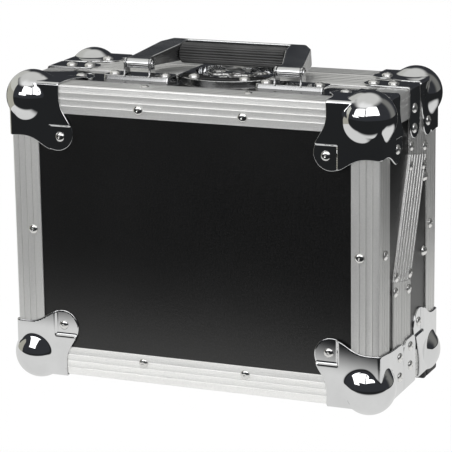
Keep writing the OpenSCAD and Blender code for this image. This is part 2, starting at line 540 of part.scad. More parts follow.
module keeper_dish() { color(steel) place() translate([0, 0, H]) union() {
  dish_half(true);
  intersection() {
    translate([0, 0, -pin + gap]) linear_extrude(pin + out1) difference() { dish_outline(); intersection() { translate([0, bowl_y - 3.5]) circle(r = 60.6); translate([-46.6, 0]) square([93.2, 170]); } }
    box([-60, 40, -5], [60, split_top - seam_w - 0.2, 5]);
  }
} }
module latch_dish() { color(steel) place() translate([0, 0, H]) dish_half(false); }
module keeper_post() { color(steel) place() translate([0, hub_y - 24, key_z]) {
  translate([0, 0, 0.04]) cylinder(r = 3, h = 5.4);
  translate([0, 0, -1.6]) cylinder(r = 2, h = 2);
  translate([0, 0, -2.4]) cylinder(r = 3.2, h = 1.1);
} }
module latch_hub() { color(steel) place() translate([0, hub_y, H]) {
  translate([0, 0, -bowl_d - 3.2]) cylinder(r = 7, h = 1.8);
  translate([0, 0, -bowl_d - 3]) cylinder(r = 4.5, h = 4);
  translate([0, 0, -bowl_d + 0.3]) cylinder(r = 7, h = 7.2);
  translate([0, 0, -5]) cylinder(r = 6, h = 4);
} }
// the claw is drawn turned back by half a turn, so that it is clear of the post at rest
module claw2d() {
  difference() {
    union() {
      circle(r = 9.5);
      intersection() { circle(r = 31); polygon([[0, 0], [60 * cos(81), 60 * sin(81)], [50 * cos(105), 50 * sin(105)], [50 * cos(130), 50 * sin(130)], [60 * cos(150), 60 * sin(150)]]); }
    }
    intersection() { difference() { circle(r = 27.3); circle(r = 20.7); } polygon([[0, 0], [0, 60], [-60, 60], [-60, 0]]); }
    translate([0, 24]) circle(r = 3.3);
    circle(r = 7.03);
  }
}
module latch_claw() { color(steel) place() translate([0, hub_y, H - 9.5]) linear_extrude(2.5) claw2d(); }
module wings2d() {
  difference() {
    union() { circle(r = 10); intersection() { circle(r = 34); translate([-34, -11]) square([68, 22]); } }
    circle(r = 6.03);
    for (s = [-1, 1]) intersection() { circle(r = 30.5); translate([s * 22.5 - 10, -7.6]) square([20, 15.2]); }
  }
}
module latch_wings() { color(steel) place() translate([0, hub_y, H - 4.4]) linear_extrude(3) wings2d(); }

lid_face_panel();
lid_top_wall();
lid_bottom_wall();
lid_left_wall();
lid_right_wall();
lid_edge_top();
lid_edge_bottom();
lid_edge_left();
lid_edge_right();
lid_corner_angles();
lid_seam_top();
lid_seam_bottom();
lid_seam_left();
lid_seam_right();
lid_ball_top_left();
lid_ball_top_right();
lid_ball_bottom_left();
lid_ball_bottom_right();
lid_braces();
lid_rivets();
keeper_dish();
keeper_post();
handle_bracket_left();
handle_bracket_right();
handle_pins();
hinge_lid_leaves();
handle_frame();
handle_grip();
base_face_panel();
base_top_wall();
base_bottom_wall();
base_left_wall();
base_right_wall();
base_edge_top();
base_edge_bottom();
base_edge_left();
base_edge_right();
base_corner_angles();
base_seam_top();
base_seam_bottom();
base_seam_left();
base_seam_right();
base_ball_top_left();
base_ball_top_right();
base_ball_bottom_left();
base_ball_bottom_right();
base_braces();
base_rivets();
side_bolts();
hinge_base_leaves();
hinge_pins();
rubber_feet();
latch_dish();
latch_hub();
latch_claw();
latch_wings();
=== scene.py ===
import math

import bmesh
import bpy
import numpy as np
from mathutils import Matrix, Vector
from mathutils.geometry import delaunay_2d_cdt

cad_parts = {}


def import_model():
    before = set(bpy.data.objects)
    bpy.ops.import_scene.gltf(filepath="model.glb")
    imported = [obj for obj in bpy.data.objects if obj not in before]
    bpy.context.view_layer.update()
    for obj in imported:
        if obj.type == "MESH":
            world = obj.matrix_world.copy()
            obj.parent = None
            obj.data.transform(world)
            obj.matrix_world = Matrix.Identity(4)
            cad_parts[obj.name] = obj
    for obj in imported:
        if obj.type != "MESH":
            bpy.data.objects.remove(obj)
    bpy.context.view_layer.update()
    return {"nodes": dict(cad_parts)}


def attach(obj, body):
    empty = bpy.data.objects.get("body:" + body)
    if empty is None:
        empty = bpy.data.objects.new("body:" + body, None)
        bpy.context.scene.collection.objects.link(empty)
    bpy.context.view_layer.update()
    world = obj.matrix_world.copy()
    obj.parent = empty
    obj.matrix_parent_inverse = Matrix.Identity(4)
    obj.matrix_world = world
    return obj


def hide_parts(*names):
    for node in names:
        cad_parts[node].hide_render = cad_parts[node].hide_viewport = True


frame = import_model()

scene = bpy.context.scene

# ------------------------------------------------------------------ sizes, mm, body frame
W, H, D = 400.0, 308.0, 178.0
FOOT = 10.6
ST, SB, SHI, SLO = 118.0, 69.5, 236.0, 115.0
TILT = math.tan(math.atan((ST - SB) / (SHI - SLO)) / 2)
O1, O2, T = 0.55, 2.05, 1.5
PROF = 1.75


def sp(k, w):
    return [(SB - w, 0.0), (SB - w, SLO + w * TILT), (ST - w, SHI + w * TILT), (ST - w, H)][k]


def to_row(v):
    v = np.asarray(v, float).reshape(-1, 3)
    return np.column_stack([v[:, 0] / 1000, (v[:, 1] - D / 2) / 1000, (v[:, 2] + FOOT) / 1000])


# ------------------------------------------------------------------ mesh helpers
class Geo:
    """Vertices and faces collected in millimetres in the body frame."""

    def __init__(self):
        self.v, self.f = [], []

    def add(self, v, f):
        n = sum(len(a) for a in self.v)
        self.v.append(np.asarray(v, float).reshape(-1, 3))
        self.f += [[int(i) + n for i in q] for q in f]
        return self

    def verts(self):
        return np.vstack(self.v)

    def merged(self, other, flip=None):
        v = other.verts().copy()
        f = other.f
        if flip is not None:
            v = v * np.array(flip, float)
            if np.prod(flip) < 0:
                f = [q[::-1] for q in f]
        return self.add(v, f)

    def mirrored_x(self):
        g = Geo()
        g.merged(self)
        g.merged(self, (-1, 1, 1))
        return g


def make(name, geo, mat, body, nodes=(), sharp=34, weld=0.004):
    me = bpy.data.meshes.new(name)
    me.from_pydata(to_row(geo.verts()).tolist(), [], geo.f)
    bm = bmesh.new()
    bm.from_mesh(me)
    if weld:
        bmesh.ops.remove_doubles(bm, verts=bm.verts, dist=weld / 1000)
    bmesh.ops.dissolve_degenerate(bm, dist=1e-7, edges=bm.edges)
    bmesh.ops.recalc_face_normals(bm, faces=bm.faces)
    bm.to_mesh(me)
    bm.free()
    me.polygons.foreach_set("use_smooth", [True] * len(me.polygons))
    me.set_sharp_from_angle(angle=math.radians(sharp))
    me.update()
    ob = bpy.data.objects.new(name, me)
    scene.collection.objects.link(ob)
    me.materials.append(mat)
    if nodes:
        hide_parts(*nodes)
    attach(ob, body)
    return ob


def sweep(poly, stations, caps=True):
    """poly: list of 2D points; stations: functions (s, t) -> 3D point. Returns v, f."""
    n = len(poly)
    v = [st(p[0], p[1]) for st in stations for p in poly]
    f = []
    for k in range(len(stations) - 1):
        for i in range(n):
            j = (i + 1) % n
            f.append([k * n + i, k * n + j, (k + 1) * n + j, (k + 1) * n + i])
    if caps:
        f.append(list(range(n))[::-1])
        f.append([(len(stations) - 1) * n + i for i in range(n)])
    return v, f


def lathe(profile, seg=32, at=None):
    """profile: (r, z) from the axis to the axis or open; at: function (x, y, z) -> 3D. Returns v, f."""
    v, f = [], []
    rings = []
    for r, z in profile:
        if r < 1e-6:
            rings.append([len(v)])
            v.append((0, 0, z))
        else:
            rings.append(list(range(len(v), len(v) + seg)))
            v += [(r * math.cos(2 * math.pi * i / seg), r * math.sin(2 * math.pi * i / seg), z) for i in range(seg)]
    for a, b in zip(rings, rings[1:]):
        if len(a) == 1 and len(b) == 1:
            continue
        for i in range(seg):
            j = (i + 1) % seg
            if len(a) == 1:
                f.append([a[0], b[i], b[j]])
            elif len(b) == 1:
                f.append([a[i], b[0], a[j]])
            else:
                f.append([a[i], b[i], b[j], a[j]])
    if at:
        v = [at(*p) for p in v]
    return v, f


def arc(cx, cy, r, a0, a1, n=14):
    return [(cx + r * math.cos(math.radians(a0 + (a1 - a0) * i / n)), cy + r * math.sin(math.radians(a0 + (a1 - a0) * i / n)))
            for i in range(n + 1)]


def resample(poly, step):
    """Even points on each long side of a closed polygon; short sides are kept."""
    out = []
    n = len(poly)
    for i in range(n):
        a, b = np.array(poly[i], float), np.array(poly[(i + 1) % n], float)
        k = max(1, int(round(np.linalg.norm(b - a) / step)))
        for j in range(k):
            out.append(tuple(a + (b - a) * j / k))
    return out


def clean(poly, eps=0.02):
    out = []
    for p in poly:
        if not out or math.dist(out[-1], p) > eps:
            out.append(tuple(map(float, p)))
    if math.dist(out[0], out[-1]) <= eps:
        out.pop()
    return out


def area(poly):
    a = np.array(poly)
    b = np.roll(a, -1, 0)
    return 0.5 * float((a[:, 0] * b[:, 1] - b[:, 0] * a[:, 1]).sum())


def seg_dist(pts, poly, mask=None):
    """Distance of points to the polygon's sides (only where mask is true)."""
    p = np.asarray(pts, float)
    a = np.asarray(poly, float)
    b = np.roll(a, -1, 0)
    if mask is not None:
        a, b = a[mask], b[mask]
    best = np.full(len(p), 1e9)
    for s, e in zip(a, b):
        d = e - s
        t = np.clip(((p - s) @ d) / max(1e-12, float(d @ d)), 0, 1)
        best = np.minimum(best, np.hypot(*(p - s - t[:, None] * d).T))
    return best


def inside(pts, poly):
    p = np.asarray(pts, float)
    a = np.asarray(poly, float)
    b = np.roll(a, -1, 0)
    res = np.zeros(len(p), bool)
    for (x0, y0), (x1, y1) in zip(a, b):
        if y0 == y1:
            continue
        c = ((y0 > p[:, 1]) != (y1 > p[:, 1])) & (p[:, 0] < (x1 - x0) * (p[:, 1] - y0) / (y1 - y0) + x0)
        res ^= c
    return res


def offset(poly, d):
    """Moves each vertex of a counter-clockwise polygon inwards by d along its bisector."""
    a = np.asarray(poly, float)
    if area(poly) < 0:
        a = a[::-1]
    e = np.roll(a, -1, 0) - a
    e /= np.linalg.norm(e, axis=1)[:, None]
    n = np.column_stack([-e[:, 1], e[:, 0]])
    m = n + np.roll(n, 1, 0)
    m /= np.maximum(1e-6, (m * n).sum(1))[:, None]
    m *= np.minimum(1, 1.6 / np.linalg.norm(m, axis=1))[:, None]
    return [tuple(q) for q in a + m * d]


def plate(outline, mapping, holes=(), thick=T, rim=0.7, step=3.0, grid=None, free=None, fine=None, skirt=True, hole_rim=0.35):
    """A sheet: a triangulated top whose free edges are rolled over with radius rim, and an edge that goes down by thick.
    mapping(uv array, depth array) -> 3D points. free(midpoints) -> bool array, True where an outline side is a free edge."""
    outline = clean(outline)
    if area(outline) < 0:
        outline = outline[::-1]
    outline = resample(outline, min(step, 2.0))
    n = len(outline)
    arr = np.array(outline)
    mid = (arr + np.roll(arr, -1, 0)) / 2
    isfree = np.ones(n, bool) if free is None else free(mid)
    pts = [tuple(p) for p in outline]
    edges = [(i, (i + 1) % n) for i in range(n)]
    loops = [(list(range(n)), isfree)]
    for h in holes:
        h = clean(h)
        if area(h) > 0:
            h = h[::-1]
        b = len(pts)
        m = len(h)
        pts += [tuple(p) for p in h]
        edges += [(b + i, b + (i + 1) % m) for i in range(m)]
        loops.append((list(range(b, b + m)), np.ones(m, bool)))
    nb = len(pts)
    rings = []
    for k, (loop, fr) in enumerate(loops):
        r = rim if k == 0 else hole_rim
        base = [pts[i] for i in loop]
        for q in (0.1, 0.35, 1.0):
            a = np.asarray(base, float)
            e = np.roll(a, -1, 0) - a
            e /= np.linalg.norm(e, axis=1)[:, None]
            nn = np.column_stack([-e[:, 1], e[:, 0]])
            mm = nn + np.roll(nn, 1, 0)
            mm /= np.maximum(0.3, (mm * nn).sum(1))[:, None]
            keep = fr & np.roll(fr, 1)
            rings += [tuple(p) for p in (a + mm * r * q)[keep]]
    lo, hi = arr.min(0), arr.max(0)
    g = []
    zones = grid or [(None, step)]
    for zone, s in zones:
        xs = np.arange(lo[0] + s * 0.5, hi[0], s)
        ys = np.arange(lo[1] + s * 0.5, hi[1], s)
        q = np.array([(x + (s * 0.25 if j % 2 else -s * 0.25), y) for j, y in enumerate(ys) for x in xs])
        if zone is not None:
            q = q[zone(q)]
        g.append(q)
    g = np.vstack(g)
    g = g[inside(g, outline)]
    for h in holes:
        g = g[~inside(g, h)]
        g = g[seg_dist(g, h) > hole_rim * 1.3]
    d = seg_dist(g, outline, isfree) if isfree.any() else np.full(len(g), 9.0)
    d2 = seg_dist(g, outline)
    g = g[(d > rim * 1.35) & (d2 > 0.3)]
    allp = pts + rings + [tuple(p) for p in g]
    co, ed, fa, orig, _, _ = delaunay_2d_cdt([Vector(p) for p in allp], edges, [], 2, 1e-5)
    co = np.array([tuple(c) for c in co])
    fa = [list(t) for t in fa]
    if holes:
        cen = np.array([co[t].mean(0) for t in fa])
        bad = np.zeros(len(fa), bool)
        for h in holes:
            bad |= inside(cen, h)
        fa = [t for t, b in zip(fa, bad) if not b]
    depth = np.zeros(len(co))
    if isfree.any():
        dd = seg_dist(co, outline, isfree)
        near = dd < rim
        depth[near] = rim - np.sqrt(np.maximum(0, rim ** 2 - (rim - dd[near]) ** 2))
    for h in holes:
        dd = seg_dist(co, h)
        near = dd < hole_rim
        depth[near] = np.maximum(depth[near], hole_rim - np.sqrt(np.maximum(0, hole_rim ** 2 - (hole_rim - dd[near]) ** 2)))
    geo = Geo()
    v = mapping(co, depth)
    vs = [tuple(p) for p in v]
    if skirt:
        where = {}
        for i, o in enumerate(orig):
            for k in o:
                where[k] = i
        for loop, fr in loops:
            m = len(loop)
            low = {}
            for i in range(m):
                a, b = where[loop[i]], where[loop[(i + 1) % m]]
                if not fr[i]:
                    continue
                for k in (a, b):
                    if k not in low:
                        low[k] = len(vs)
                        vs.append(tuple(mapping(co[k:k + 1], np.array([thick]))[0]))
                fa.append([a, low[a], low[b], b])
    geo.add(vs, fa)
    return geo


def second(ob, mat, test, where=None):
    """Gives the faces whose normal (and centre) passes the test a second material: a copy of a finish whose tone
    carries painted light and shade.
    """
    ob.data.materials.append(mat)
    k = len(ob.data.materials) - 1
    for p in ob.data.polygons:
        if test(p.normal) and (where is None or where(p.center)):
            p.material_index = k


# ------------------------------------------------------------------ materials
class Mat:
    def __init__(self, name):
        self.m = bpy.data.materials.new(name)
        self.m.use_nodes = True
        self.t = self.m.node_tree
        self.b = self.t.nodes["Principled BSDF"]
        self.co = self.t.nodes.new("ShaderNodeTexCoord").outputs["Object"]

    def node(self, kind, **ins):
        n = self.t.nodes.new(kind)
        for k, v in ins.items():
            k = k.replace("_", " ")
            if isinstance(v, bpy.types.NodeSocket):
                self.t.links.new(v, n.inputs[k])
            else:
                n.inputs[k].default_value = v
        return n

    def scaled(self, sx, sy, sz):
        n = self.node("ShaderNodeMapping", Scale=(sx, sy, sz))
        self.t.links.new(self.co, n.inputs["Vector"])
        return n.outputs["Vector"]

    def noise(self, scale, detail=3.0, rough=0.55, vec=None):
        n = self.node("ShaderNodeTexNoise", Scale=scale, Detail=detail, Roughness=rough)
        self.t.links.new(vec or self.co, n.inputs["Vector"])
        return n.outputs["Fac"]

    def ramp(self, fac, stops):
        n = self.t.nodes.new("ShaderNodeValToRGB")
        self.t.links.new(fac, n.inputs["Fac"])
        el = n.color_ramp.elements
        while len(el) > 1:
            el.remove(el[-1])
        el[0].position, el[0].color = stops[0][0], stops[0][1]
        for p, c in stops[1:]:
            e = el.new(p)
            e.color = c
        return n.outputs["Color"]

    def span(self, fac, lo, hi, f0=0.3, f1=0.7):
        n = self.t.nodes.new("ShaderNodeMapRange")
        self.t.links.new(fac, n.inputs["Value"])
        n.inputs["From Min"].default_value = f0
        n.inputs["From Max"].default_value = f1
        n.inputs["To Min"].default_value = lo
        n.inputs["To Max"].default_value = hi
        return n.outputs["Result"]

    def link(self, out, name):
        self.t.links.new(out, self.b.inputs[name])

    def bump(self, height, strength, dist, prev=None):
        n = self.t.nodes.new("ShaderNodeBump")
        n.inputs["Strength"].default_value = strength
        n.inputs["Distance"].default_value = dist
        self.t.links.new(height, n.inputs["Height"])
        if prev is not None:
            self.t.links.new(prev, n.inputs["Normal"])
        return n.outputs["Normal"]


def grey(v, tint=(1, 1, 1)):
    return (v * tint[0], v * tint[1], v * tint[2], 1)


def laminate(name="black_laminate", rough=(0.30, 0.35), k=1.0):
    m = Mat(name)
    fine = m.noise(1500, 2.0, 0.6)
    mid = m.noise(420, 3.0, 0.6)
    big = m.noise(9, 2.0, 0.5)
    speck = m.noise(620, 2.0, 0.65)
    m.link(m.ramp(speck, [(0.42, grey(0.0002)), (0.63, grey(0.0078, (1, 1, 1.02)))]), "Base Color")
    m.link(m.span(big, *rough), "Roughness")
    m.b.inputs["Specular IOR Level"].default_value = 0.88
    n1 = m.bump(fine, 0.35 * k, 0.0002)
    m.link(m.bump(mid, 0.25 * k, 0.0003, n1), "Normal")
    return m.m


def aluminium(name, along, tone=0.72, rough=(0.30, 0.44)):
    """Satin extrusion; along is the axis of the run, so the drawing lines follow it. Each run gets its own tone, with
    painted light and shade for where it sits.
    """
    m = Mat(name)
    sc = [900.0, 900.0, 900.0]
    sc[along] = 6.0
    lines = m.noise(1.0, 4.0, 0.65, m.scaled(*sc))
    sc2 = [160.0, 160.0, 160.0]
    sc2[along] = 3.0
    wide = m.noise(1.0, 3.0, 0.5, m.scaled(*sc2))
    cloud = m.noise(16, 3.0, 0.55)
    m.b.inputs["Metallic"].default_value = 0.68
    grain = m.noise(950, 2.0, 0.7)
    both = m.t.nodes.new("ShaderNodeMath")
    both.operation = "ADD"
    m.t.links.new(m.span(wide, 0.0, 0.5), both.inputs[0])
    m.t.links.new(m.span(grain, 0.0, 0.5), both.inputs[1])
    m.link(m.ramp(both.outputs[0], [(0.0, grey(tone * 0.90, (1, 1, 0.99))), (1.0, grey(tone * 1.10, (1, 1, 0.98)))]), "Base Color")
    r1 = m.span(lines, *rough)
    mix = m.t.nodes.new("ShaderNodeMath")
    mix.operation = "ADD"
    m.t.links.new(r1, mix.inputs[0])
    m.t.links.new(m.span(cloud, -0.03, 0.04), mix.inputs[1])
    m.link(mix.outputs[0], "Roughness")
    n1 = m.bump(lines, 0.30, 0.0002)
    m.link(m.bump(wide, 0.12, 0.0003, n1), "Normal")
    return m.m


def chrome(name, tone=0.62, rough=(0.035, 0.09), wave=0.10, tint=(0.985, 0.99, 1.0)):
    m = Mat(name)
    smear = m.noise(26, 3.0, 0.6)
    spots = m.noise(240, 3.0, 0.65)
    m.b.inputs["Metallic"].default_value = 1.0
    m.link(m.ramp(smear, [(0.3, grey(tone * 0.95, tint)), (0.7, grey(tone * 1.04, tint))]), "Base Color")
    add = m.t.nodes.new("ShaderNodeMath")
    add.operation = "ADD"
    m.t.links.new(m.span(smear, *rough), add.inputs[0])
    m.t.links.new(m.span(spots, 0.0, 0.025, 0.55, 0.75), add.inputs[1])
    m.link(add.outputs[0], "Roughness")
    wav = m.noise(70, 1.0, 0.4)
    m.link(m.bump(wav, wave, 0.0006), "Normal")
    return m.m


def rubber(name, tone=0.02, rough=0.55):
    m = Mat(name)
    a = m.noise(900, 3.0, 0.6)
    b = m.noise(40, 2.0, 0.5)
    m.link(m.ramp(b, [(0.3, grey(tone * 0.85)), (0.7, grey(tone * 1.2))]), "Base Color")
    m.link(m.span(a, rough - 0.07, rough + 0.07), "Roughness")
    m.link(m.bump(a, 0.3, 0.0002), "Normal")
    return m.m


LAM = laminate()
LAMT = laminate("black_laminate_top", (0.07, 0.10), 0.1)
LAMT.node_tree.nodes["Principled BSDF"].inputs["Coat Weight"].default_value = 1.0
LAMT.node_tree.nodes["Principled BSDF"].inputs["Coat Roughness"].default_value = 0.06
# the same satin aluminium in several tones: the differences between the runs' tones are painted light and shade for
# where each run sits (brightest on the bottom profiles, darkest on the side-facing and top runs), not a difference in
# the metal
ALX, ALY, ALZ = aluminium("satin_aluminium_x", 0, 0.80), aluminium("satin_aluminium_y", 1, 0.74), aluminium("satin_aluminium_z", 2, 0.70)
ALB = aluminium("polished_ridges", 2, 0.62, (0.26, 0.36))
# painted light: a brighter copy of the aluminium for the bottom profiles
AL_LOW_LIT = aluminium("satin_aluminium_low_painted_light", 0, 0.95)
# painted shade: a darker copy of the aluminium for the side-facing faces of the lid's upright profiles
AL_FLANK_SHADE = aluminium("satin_aluminium_flank_painted_shade", 2, 0.56)
# painted shading: a toned copy of the chrome for the handle brackets' front-facing lip faces
LIP_SHADING = chrome("bracket_lip_painted_shading", 0.42, (0.2, 0.3), 0.03)
# painted shade: a darker copy of the aluminium for the closing profiles on the side walls
AL_SIDE_SHADE = aluminium("satin_aluminium_side_painted_shade", 2, 0.58)
# painted shade: a darker copy of the aluminium for the closing profiles on the top and bottom
AL_TOP_SHADE = aluminium("satin_aluminium_top_painted_shade", 0, 0.60, (0.24, 0.40))
# satin rivet steel with a brighter tone than the front rivets: the roughness is the finish, the extra brightness is
# painted light
RIV_LIT = chrome("rivet_satin_painted_light", 0.93, (0.26, 0.36), 0.05, (1, 0.995, 0.98))
CHR = chrome("bright_chrome", 0.82, (0.02, 0.06), 0.02)
CHR_H = chrome("handle_steel", 0.80, (0.14, 0.24), 0.05, (0.97, 0.985, 1.0))
RIV = chrome("rivet_steel", 0.84, (0.10, 0.2), 0.05, (1, 0.995, 0.98))
WING = chrome("wing_steel", 0.66, (0.08, 0.18), 0.05, (1, 0.995, 0.98))
# painted shade: a dark copy of the handle steel for the inner faces of the arms
BOW_INNER_SHADE = chrome("bow_inner_painted_shade", 0.34, (0.16, 0.28), 0.05)
# painted highlight: a near-white, partly matt copy for the outer walls of the arms, standing in for the bright
# reflection on the steel
BOW_FLANK_LIT = aluminium("bow_flank_painted_highlight", 1, 0.98, (0.28, 0.38))
BOW_FLANK_LIT.node_tree.nodes["Principled BSDF"].inputs["Metallic"].default_value = 0.3
# painted shade: a very dark copy of the chrome for the upright faces round the keeper dish
APR_SHADE = chrome("dish_apron_painted_shade", 0.17, (0.2, 0.32), 0.05)
GRIP = rubber("ribbed_grip", 0.045, 0.36)
FOOTM = rubber("foot_rubber", 0.016, 0.6)

# carried over CAD nodes
for name, ob in frame["nodes"].items():
    ob.data.materials.clear()
    if name.endswith("_panel") or name.endswith("_wall"):
        ob.data.materials.append(LAMT if name == "lid_top_wall" else LAM)
    elif name in ("rubber_feet",):
        ob.data.materials.append(FOOTM)
    elif name == "handle_grip":
        ob.data.materials.append(GRIP)
    elif "edge" in name or "seam" in name or "angles" in name:
        ob.data.materials.append(ALX)
    else:
        ob.data.materials.append(CHR)


# ------------------------------------------------------------------ edge profiles
def bump_line(cs, half, h, s0, s1, base=0.0):
    """Outer surface points (s, height) from s0 to s1 with rounded ribs centred at cs."""
    pts = [(s0, base)]
    for c in cs:
        for q in (-1.0, -0.72, -0.38, 0.0, 0.38, 0.72, 1.0):
            s = c + q * half
            if s0 + 0.02 < s < s1 - 0.02:
                pts.append((s, base + h * 0.5 * (1 + math.cos(math.pi * q))))
    pts.append((s1, base))
    return pts


LEG = 30.0
RIBS = (8.0, 15.0, 22.0)


def ell_poly(groove=0.0):
    """Cross-section in (p, q): distances from the two faces, the crease at the origin."""
    r = 2.2
    out = bump_line(RIBS, 0.42, 0.2, r, LEG - 0.35)
    if groove:
        out = sorted(out + [(c + a, b) for c in RIBS for a, b in ((-1.05, 0.0), (-0.85, -groove), (-0.7, -groove), (-0.5, 0.0))])
    leg1 = [(s, -h) for s, h in out]            # along p, outer face towards -q
    end1 = [(LEG, 0.3), (LEG, PROF - 0.2), (LEG - 0.2, PROF)]
    inner = [(PROF + 0.6, PROF), (PROF, PROF + 0.6)]
    end2 = [(PROF, LEG - 0.2), (PROF - 0.2, LEG), (0.3, LEG)]
    leg2 = [(-h, s) for s, h in reversed(out)]
    corner = [(r - r * math.sin(math.radians(a)), r - r * math.cos(math.radians(a))) for a in (75, 60, 45, 30, 15)]
    return leg1 + end1 + inner + end2 + leg2 + corner


def bar(geo, poly, f, a, b, n=1):
    v, q = sweep(poly, [(lambda t: (lambda s, u: f(s, u, t)))(a + (b - a) * k / n) for k in range(n + 1)])
    geo.add(v, q)


def edge_nodes():
    P = ell_poly()
    x0, z0 = W / 2 - 31, 31.0
    for side, body in (("lid", "lid"), ("base", "base")):
        yb = (lambda b: b) if side == "lid" else (lambda b: D - b)
        for top in (True, False):
            zc = (lambda c: H - c) if top else (lambda c: c)
            g = Geo()
            f = lambda s, u, t: (t, yb(s), zc(u))
            if side == "base" and top:
                bar(g, P, f, -x0, -36)
                bar(g, P, f, 36, x0)
                Q = [p for p in P if not (p[1] < 8 and p[0] > 11.0)]
                k = max(range(len(Q)), key=lambda i: Q[i][0])
                Q = P_short = [p for p in P if p[0] <= 11.0 or p[1] > 8]
                lead = [p for p in P_short if p[1] < 1.0]
                m = max(lead, key=lambda p: p[0])
                i = P_short.index(m)
                P_short = P_short[:i + 1] + [(11.4, 0.0), (11.4, PROF)] + P_short[i + 1:]
                bar(g, P_short, f, -36, 36)
            else:
                bar(g, P, f, -x0, x0)
            # painted light: the bottom profiles take a brighter copy of the aluminium than the top ones
            make(f"{side}_edge_{'top' if top else 'bottom'}_profile", g, ALX if top else AL_LOW_LIT, body, [f"{side}_edge_{'top' if top else 'bottom'}"], 40)
        for right in (True, False):
            xa = (lambda a: W / 2 - a) if right else (lambda a: a - W / 2)
            g = Geo()
            bar(g, ell_poly(0.5), lambda s, u, t: (xa(s), yb(u), t), z0, H - z0)
            ob = make(f"{side}_edge_{'right' if right else 'left'}_profile", g, ALZ, body, [f"{side}_edge_{'right' if right else 'left'}"], 40)
            if side == "lid":
                # painted shade: the side-facing faces of the lid's upright profiles take a darker copy of the aluminium
                second(ob, AL_FLANK_SHADE, lambda n: abs(n[0]) > 0.8)
    g = Geo()
    for right in (True, False):
        xa = (lambda a: W / 2 - a) if right else (lambda a: a - W / 2)
        bar(g, P, lambda s, u, t: (xa(s), t, H - u), 31, ST - 27.1)
        bar(g, P, lambda s, u, t: (xa(s), t, u), 31, SB - 27.1)
    make("lid_corner_angle_profiles", g, ALY, "lid", ["lid_corner_angles"], 40)
    g = Geo()
    for right in (True, False):
        xa = (lambda a: W / 2 - a) if right else (lambda a: a - W / 2)
        bar(g, P, lambda s, u, t: (xa(s), t, u), SB + 27.1, D - 31)
    make("base_corner_angle_profiles", g, ALY, "base", ["base_corner_angles"], 40)


edge_nodes()


# ------------------------------------------------------------------ closing profile
SRIDGES = {1: (2.0, 10.3, 18.6, 25.3), -1: (6.9, 15.2, 23.5)}


def seam_poly(s, flat=False, half=1.0, h=0.5):
    """(w, h): w from the split, h the height over the nominal face."""
    out = [(0.15 if s > 0 else -0.15, -0.25), (s * 0.4, 0.0)] + [(s * p, h) for p, h in bump_line(SRIDGES[s], half, h, 0.6, 26.6)] + [(s * 26.85, -0.12), (s * 27.0, -0.4)]
    inner = [(s * 27.0, -PROF)]
    if s > 0:
        web = [(1.95, -PROF), (1.95, -9.3), (0.15, -9.3)]
        tongue = [] if flat else [(0.15, -7.0), (-1.7, -7.0), (-2.0, -6.7), (-2.0, -4.9), (-1.7, -4.6), (0.15, -4.6)]
    else:
        web = [(-4.65, -PROF), (-4.65, -9.3), (-0.15, -9.3)]
        tongue = [] if flat else [(-0.15, -7.35), (-2.6, -7.35), (-2.6, -4.25), (-0.15, -4.25)]
    return out + inner + web + tongue


def seams():
    for side, s in (("lid", 1), ("base", -1)):
        g = Geo()
        lines = Geo()
        for k in range(3):
            poly = seam_poly(s, False, 1.0, 0.12) if k == 1 else seam_poly(s, False, 0.7, 0.4)
            def st(k0, dz):
                def f(w, h):
                    y, z = sp(k0, w)
                    z += dz
                    if k0 == 0 and h < -1.7:
                        z = 1.85
                    if k0 == 3 and h < -1.7:
                        z = H - 1.85
                    return (W / 2 + h, y, z)
                return f
            v, f = sweep(poly, [st(k, 0.0 if k == 0 else 0.11), st(k + 1, 0.0 if k == 2 else -0.11)])
            g.add(v, f)
            if k == 1:
                for c in SRIDGES[s]:
                    line = [(s * (c + a), b) for a, b in ((-0.95, -0.1), (-0.75, 0.55), (-0.45, 0.92), (-0.15, 1.05), (0.15, 1.05), (0.45, 0.92), (0.75, 0.55), (0.95, -0.1))]
                    v, f = sweep(line, [st(1, 0.4), st(2, -0.4)])
                    lines.add(v, f)
        make(f"{side}_seam_drawn_lines", lines.mirrored_x(), ALB, side, (), 40)
        right = Geo().merged(g)
        left = Geo().merged(g, (-1, 1, 1))
        # painted shade: the closing profiles on the side walls take a darker copy of the aluminium
        make(f"{side}_seam_right_profile", right, AL_SIDE_SHADE, side, [f"{side}_seam_right"], 40)
        make(f"{side}_seam_left_profile", left, AL_SIDE_SHADE, side, [f"{side}_seam_left"], 40)
        for top in (True, False):
            poly2 = seam_poly(s, not top, 1.1, 0.9)
            yc = ST if top else SB
            zz = (lambda h: H + h) if top else (lambda h: -h)

            def xs(x, sign):
                return lambda w, h: (sign * (x if h >= -1.7 else min(x, W / 2 - 9.4)), yc - w, zz(h))
            g = Geo()
            xe = W / 2 - 1.85
            if top:
                for sign in (-1, 1):
                    v, f = sweep(poly2, [xs(44.6, sign), xs(xe, sign)])
                    g.add(v, f)
            else:
                v, f = sweep(poly2, [xs(xe, -1), xs(xe, 1)])
                g.add(v, f)
            nm = "top" if top else "bottom"
            # painted shade: the closing profiles on the top and bottom take a darker copy of the aluminium
            make(f"{side}_seam_{nm}_profile", g, AL_TOP_SHADE, side, [f"{side}_seam_{nm}"], 40)


seams()

# ------------------------------------------------------------------ ball corners
BR, BI = 27.4, 16.8
PADC, PADR, FR, PLEG = 54.5, 15.0, 14.0, 55.0
FB = PADC - math.sqrt((PADR + FR) ** 2 - (PLEG + FR - PADC) ** 2)


CONE = 29.5


def smooth01(x):
    x = np.clip(x, 0, 1)
    return x * x * (3 - 2 * x)


def smin(a, b, k):
    h = np.clip(0.5 + 0.5 * (b - a) / k, 0, 1)
    return b * (1 - h) + a * h - k * h * (1 - h)


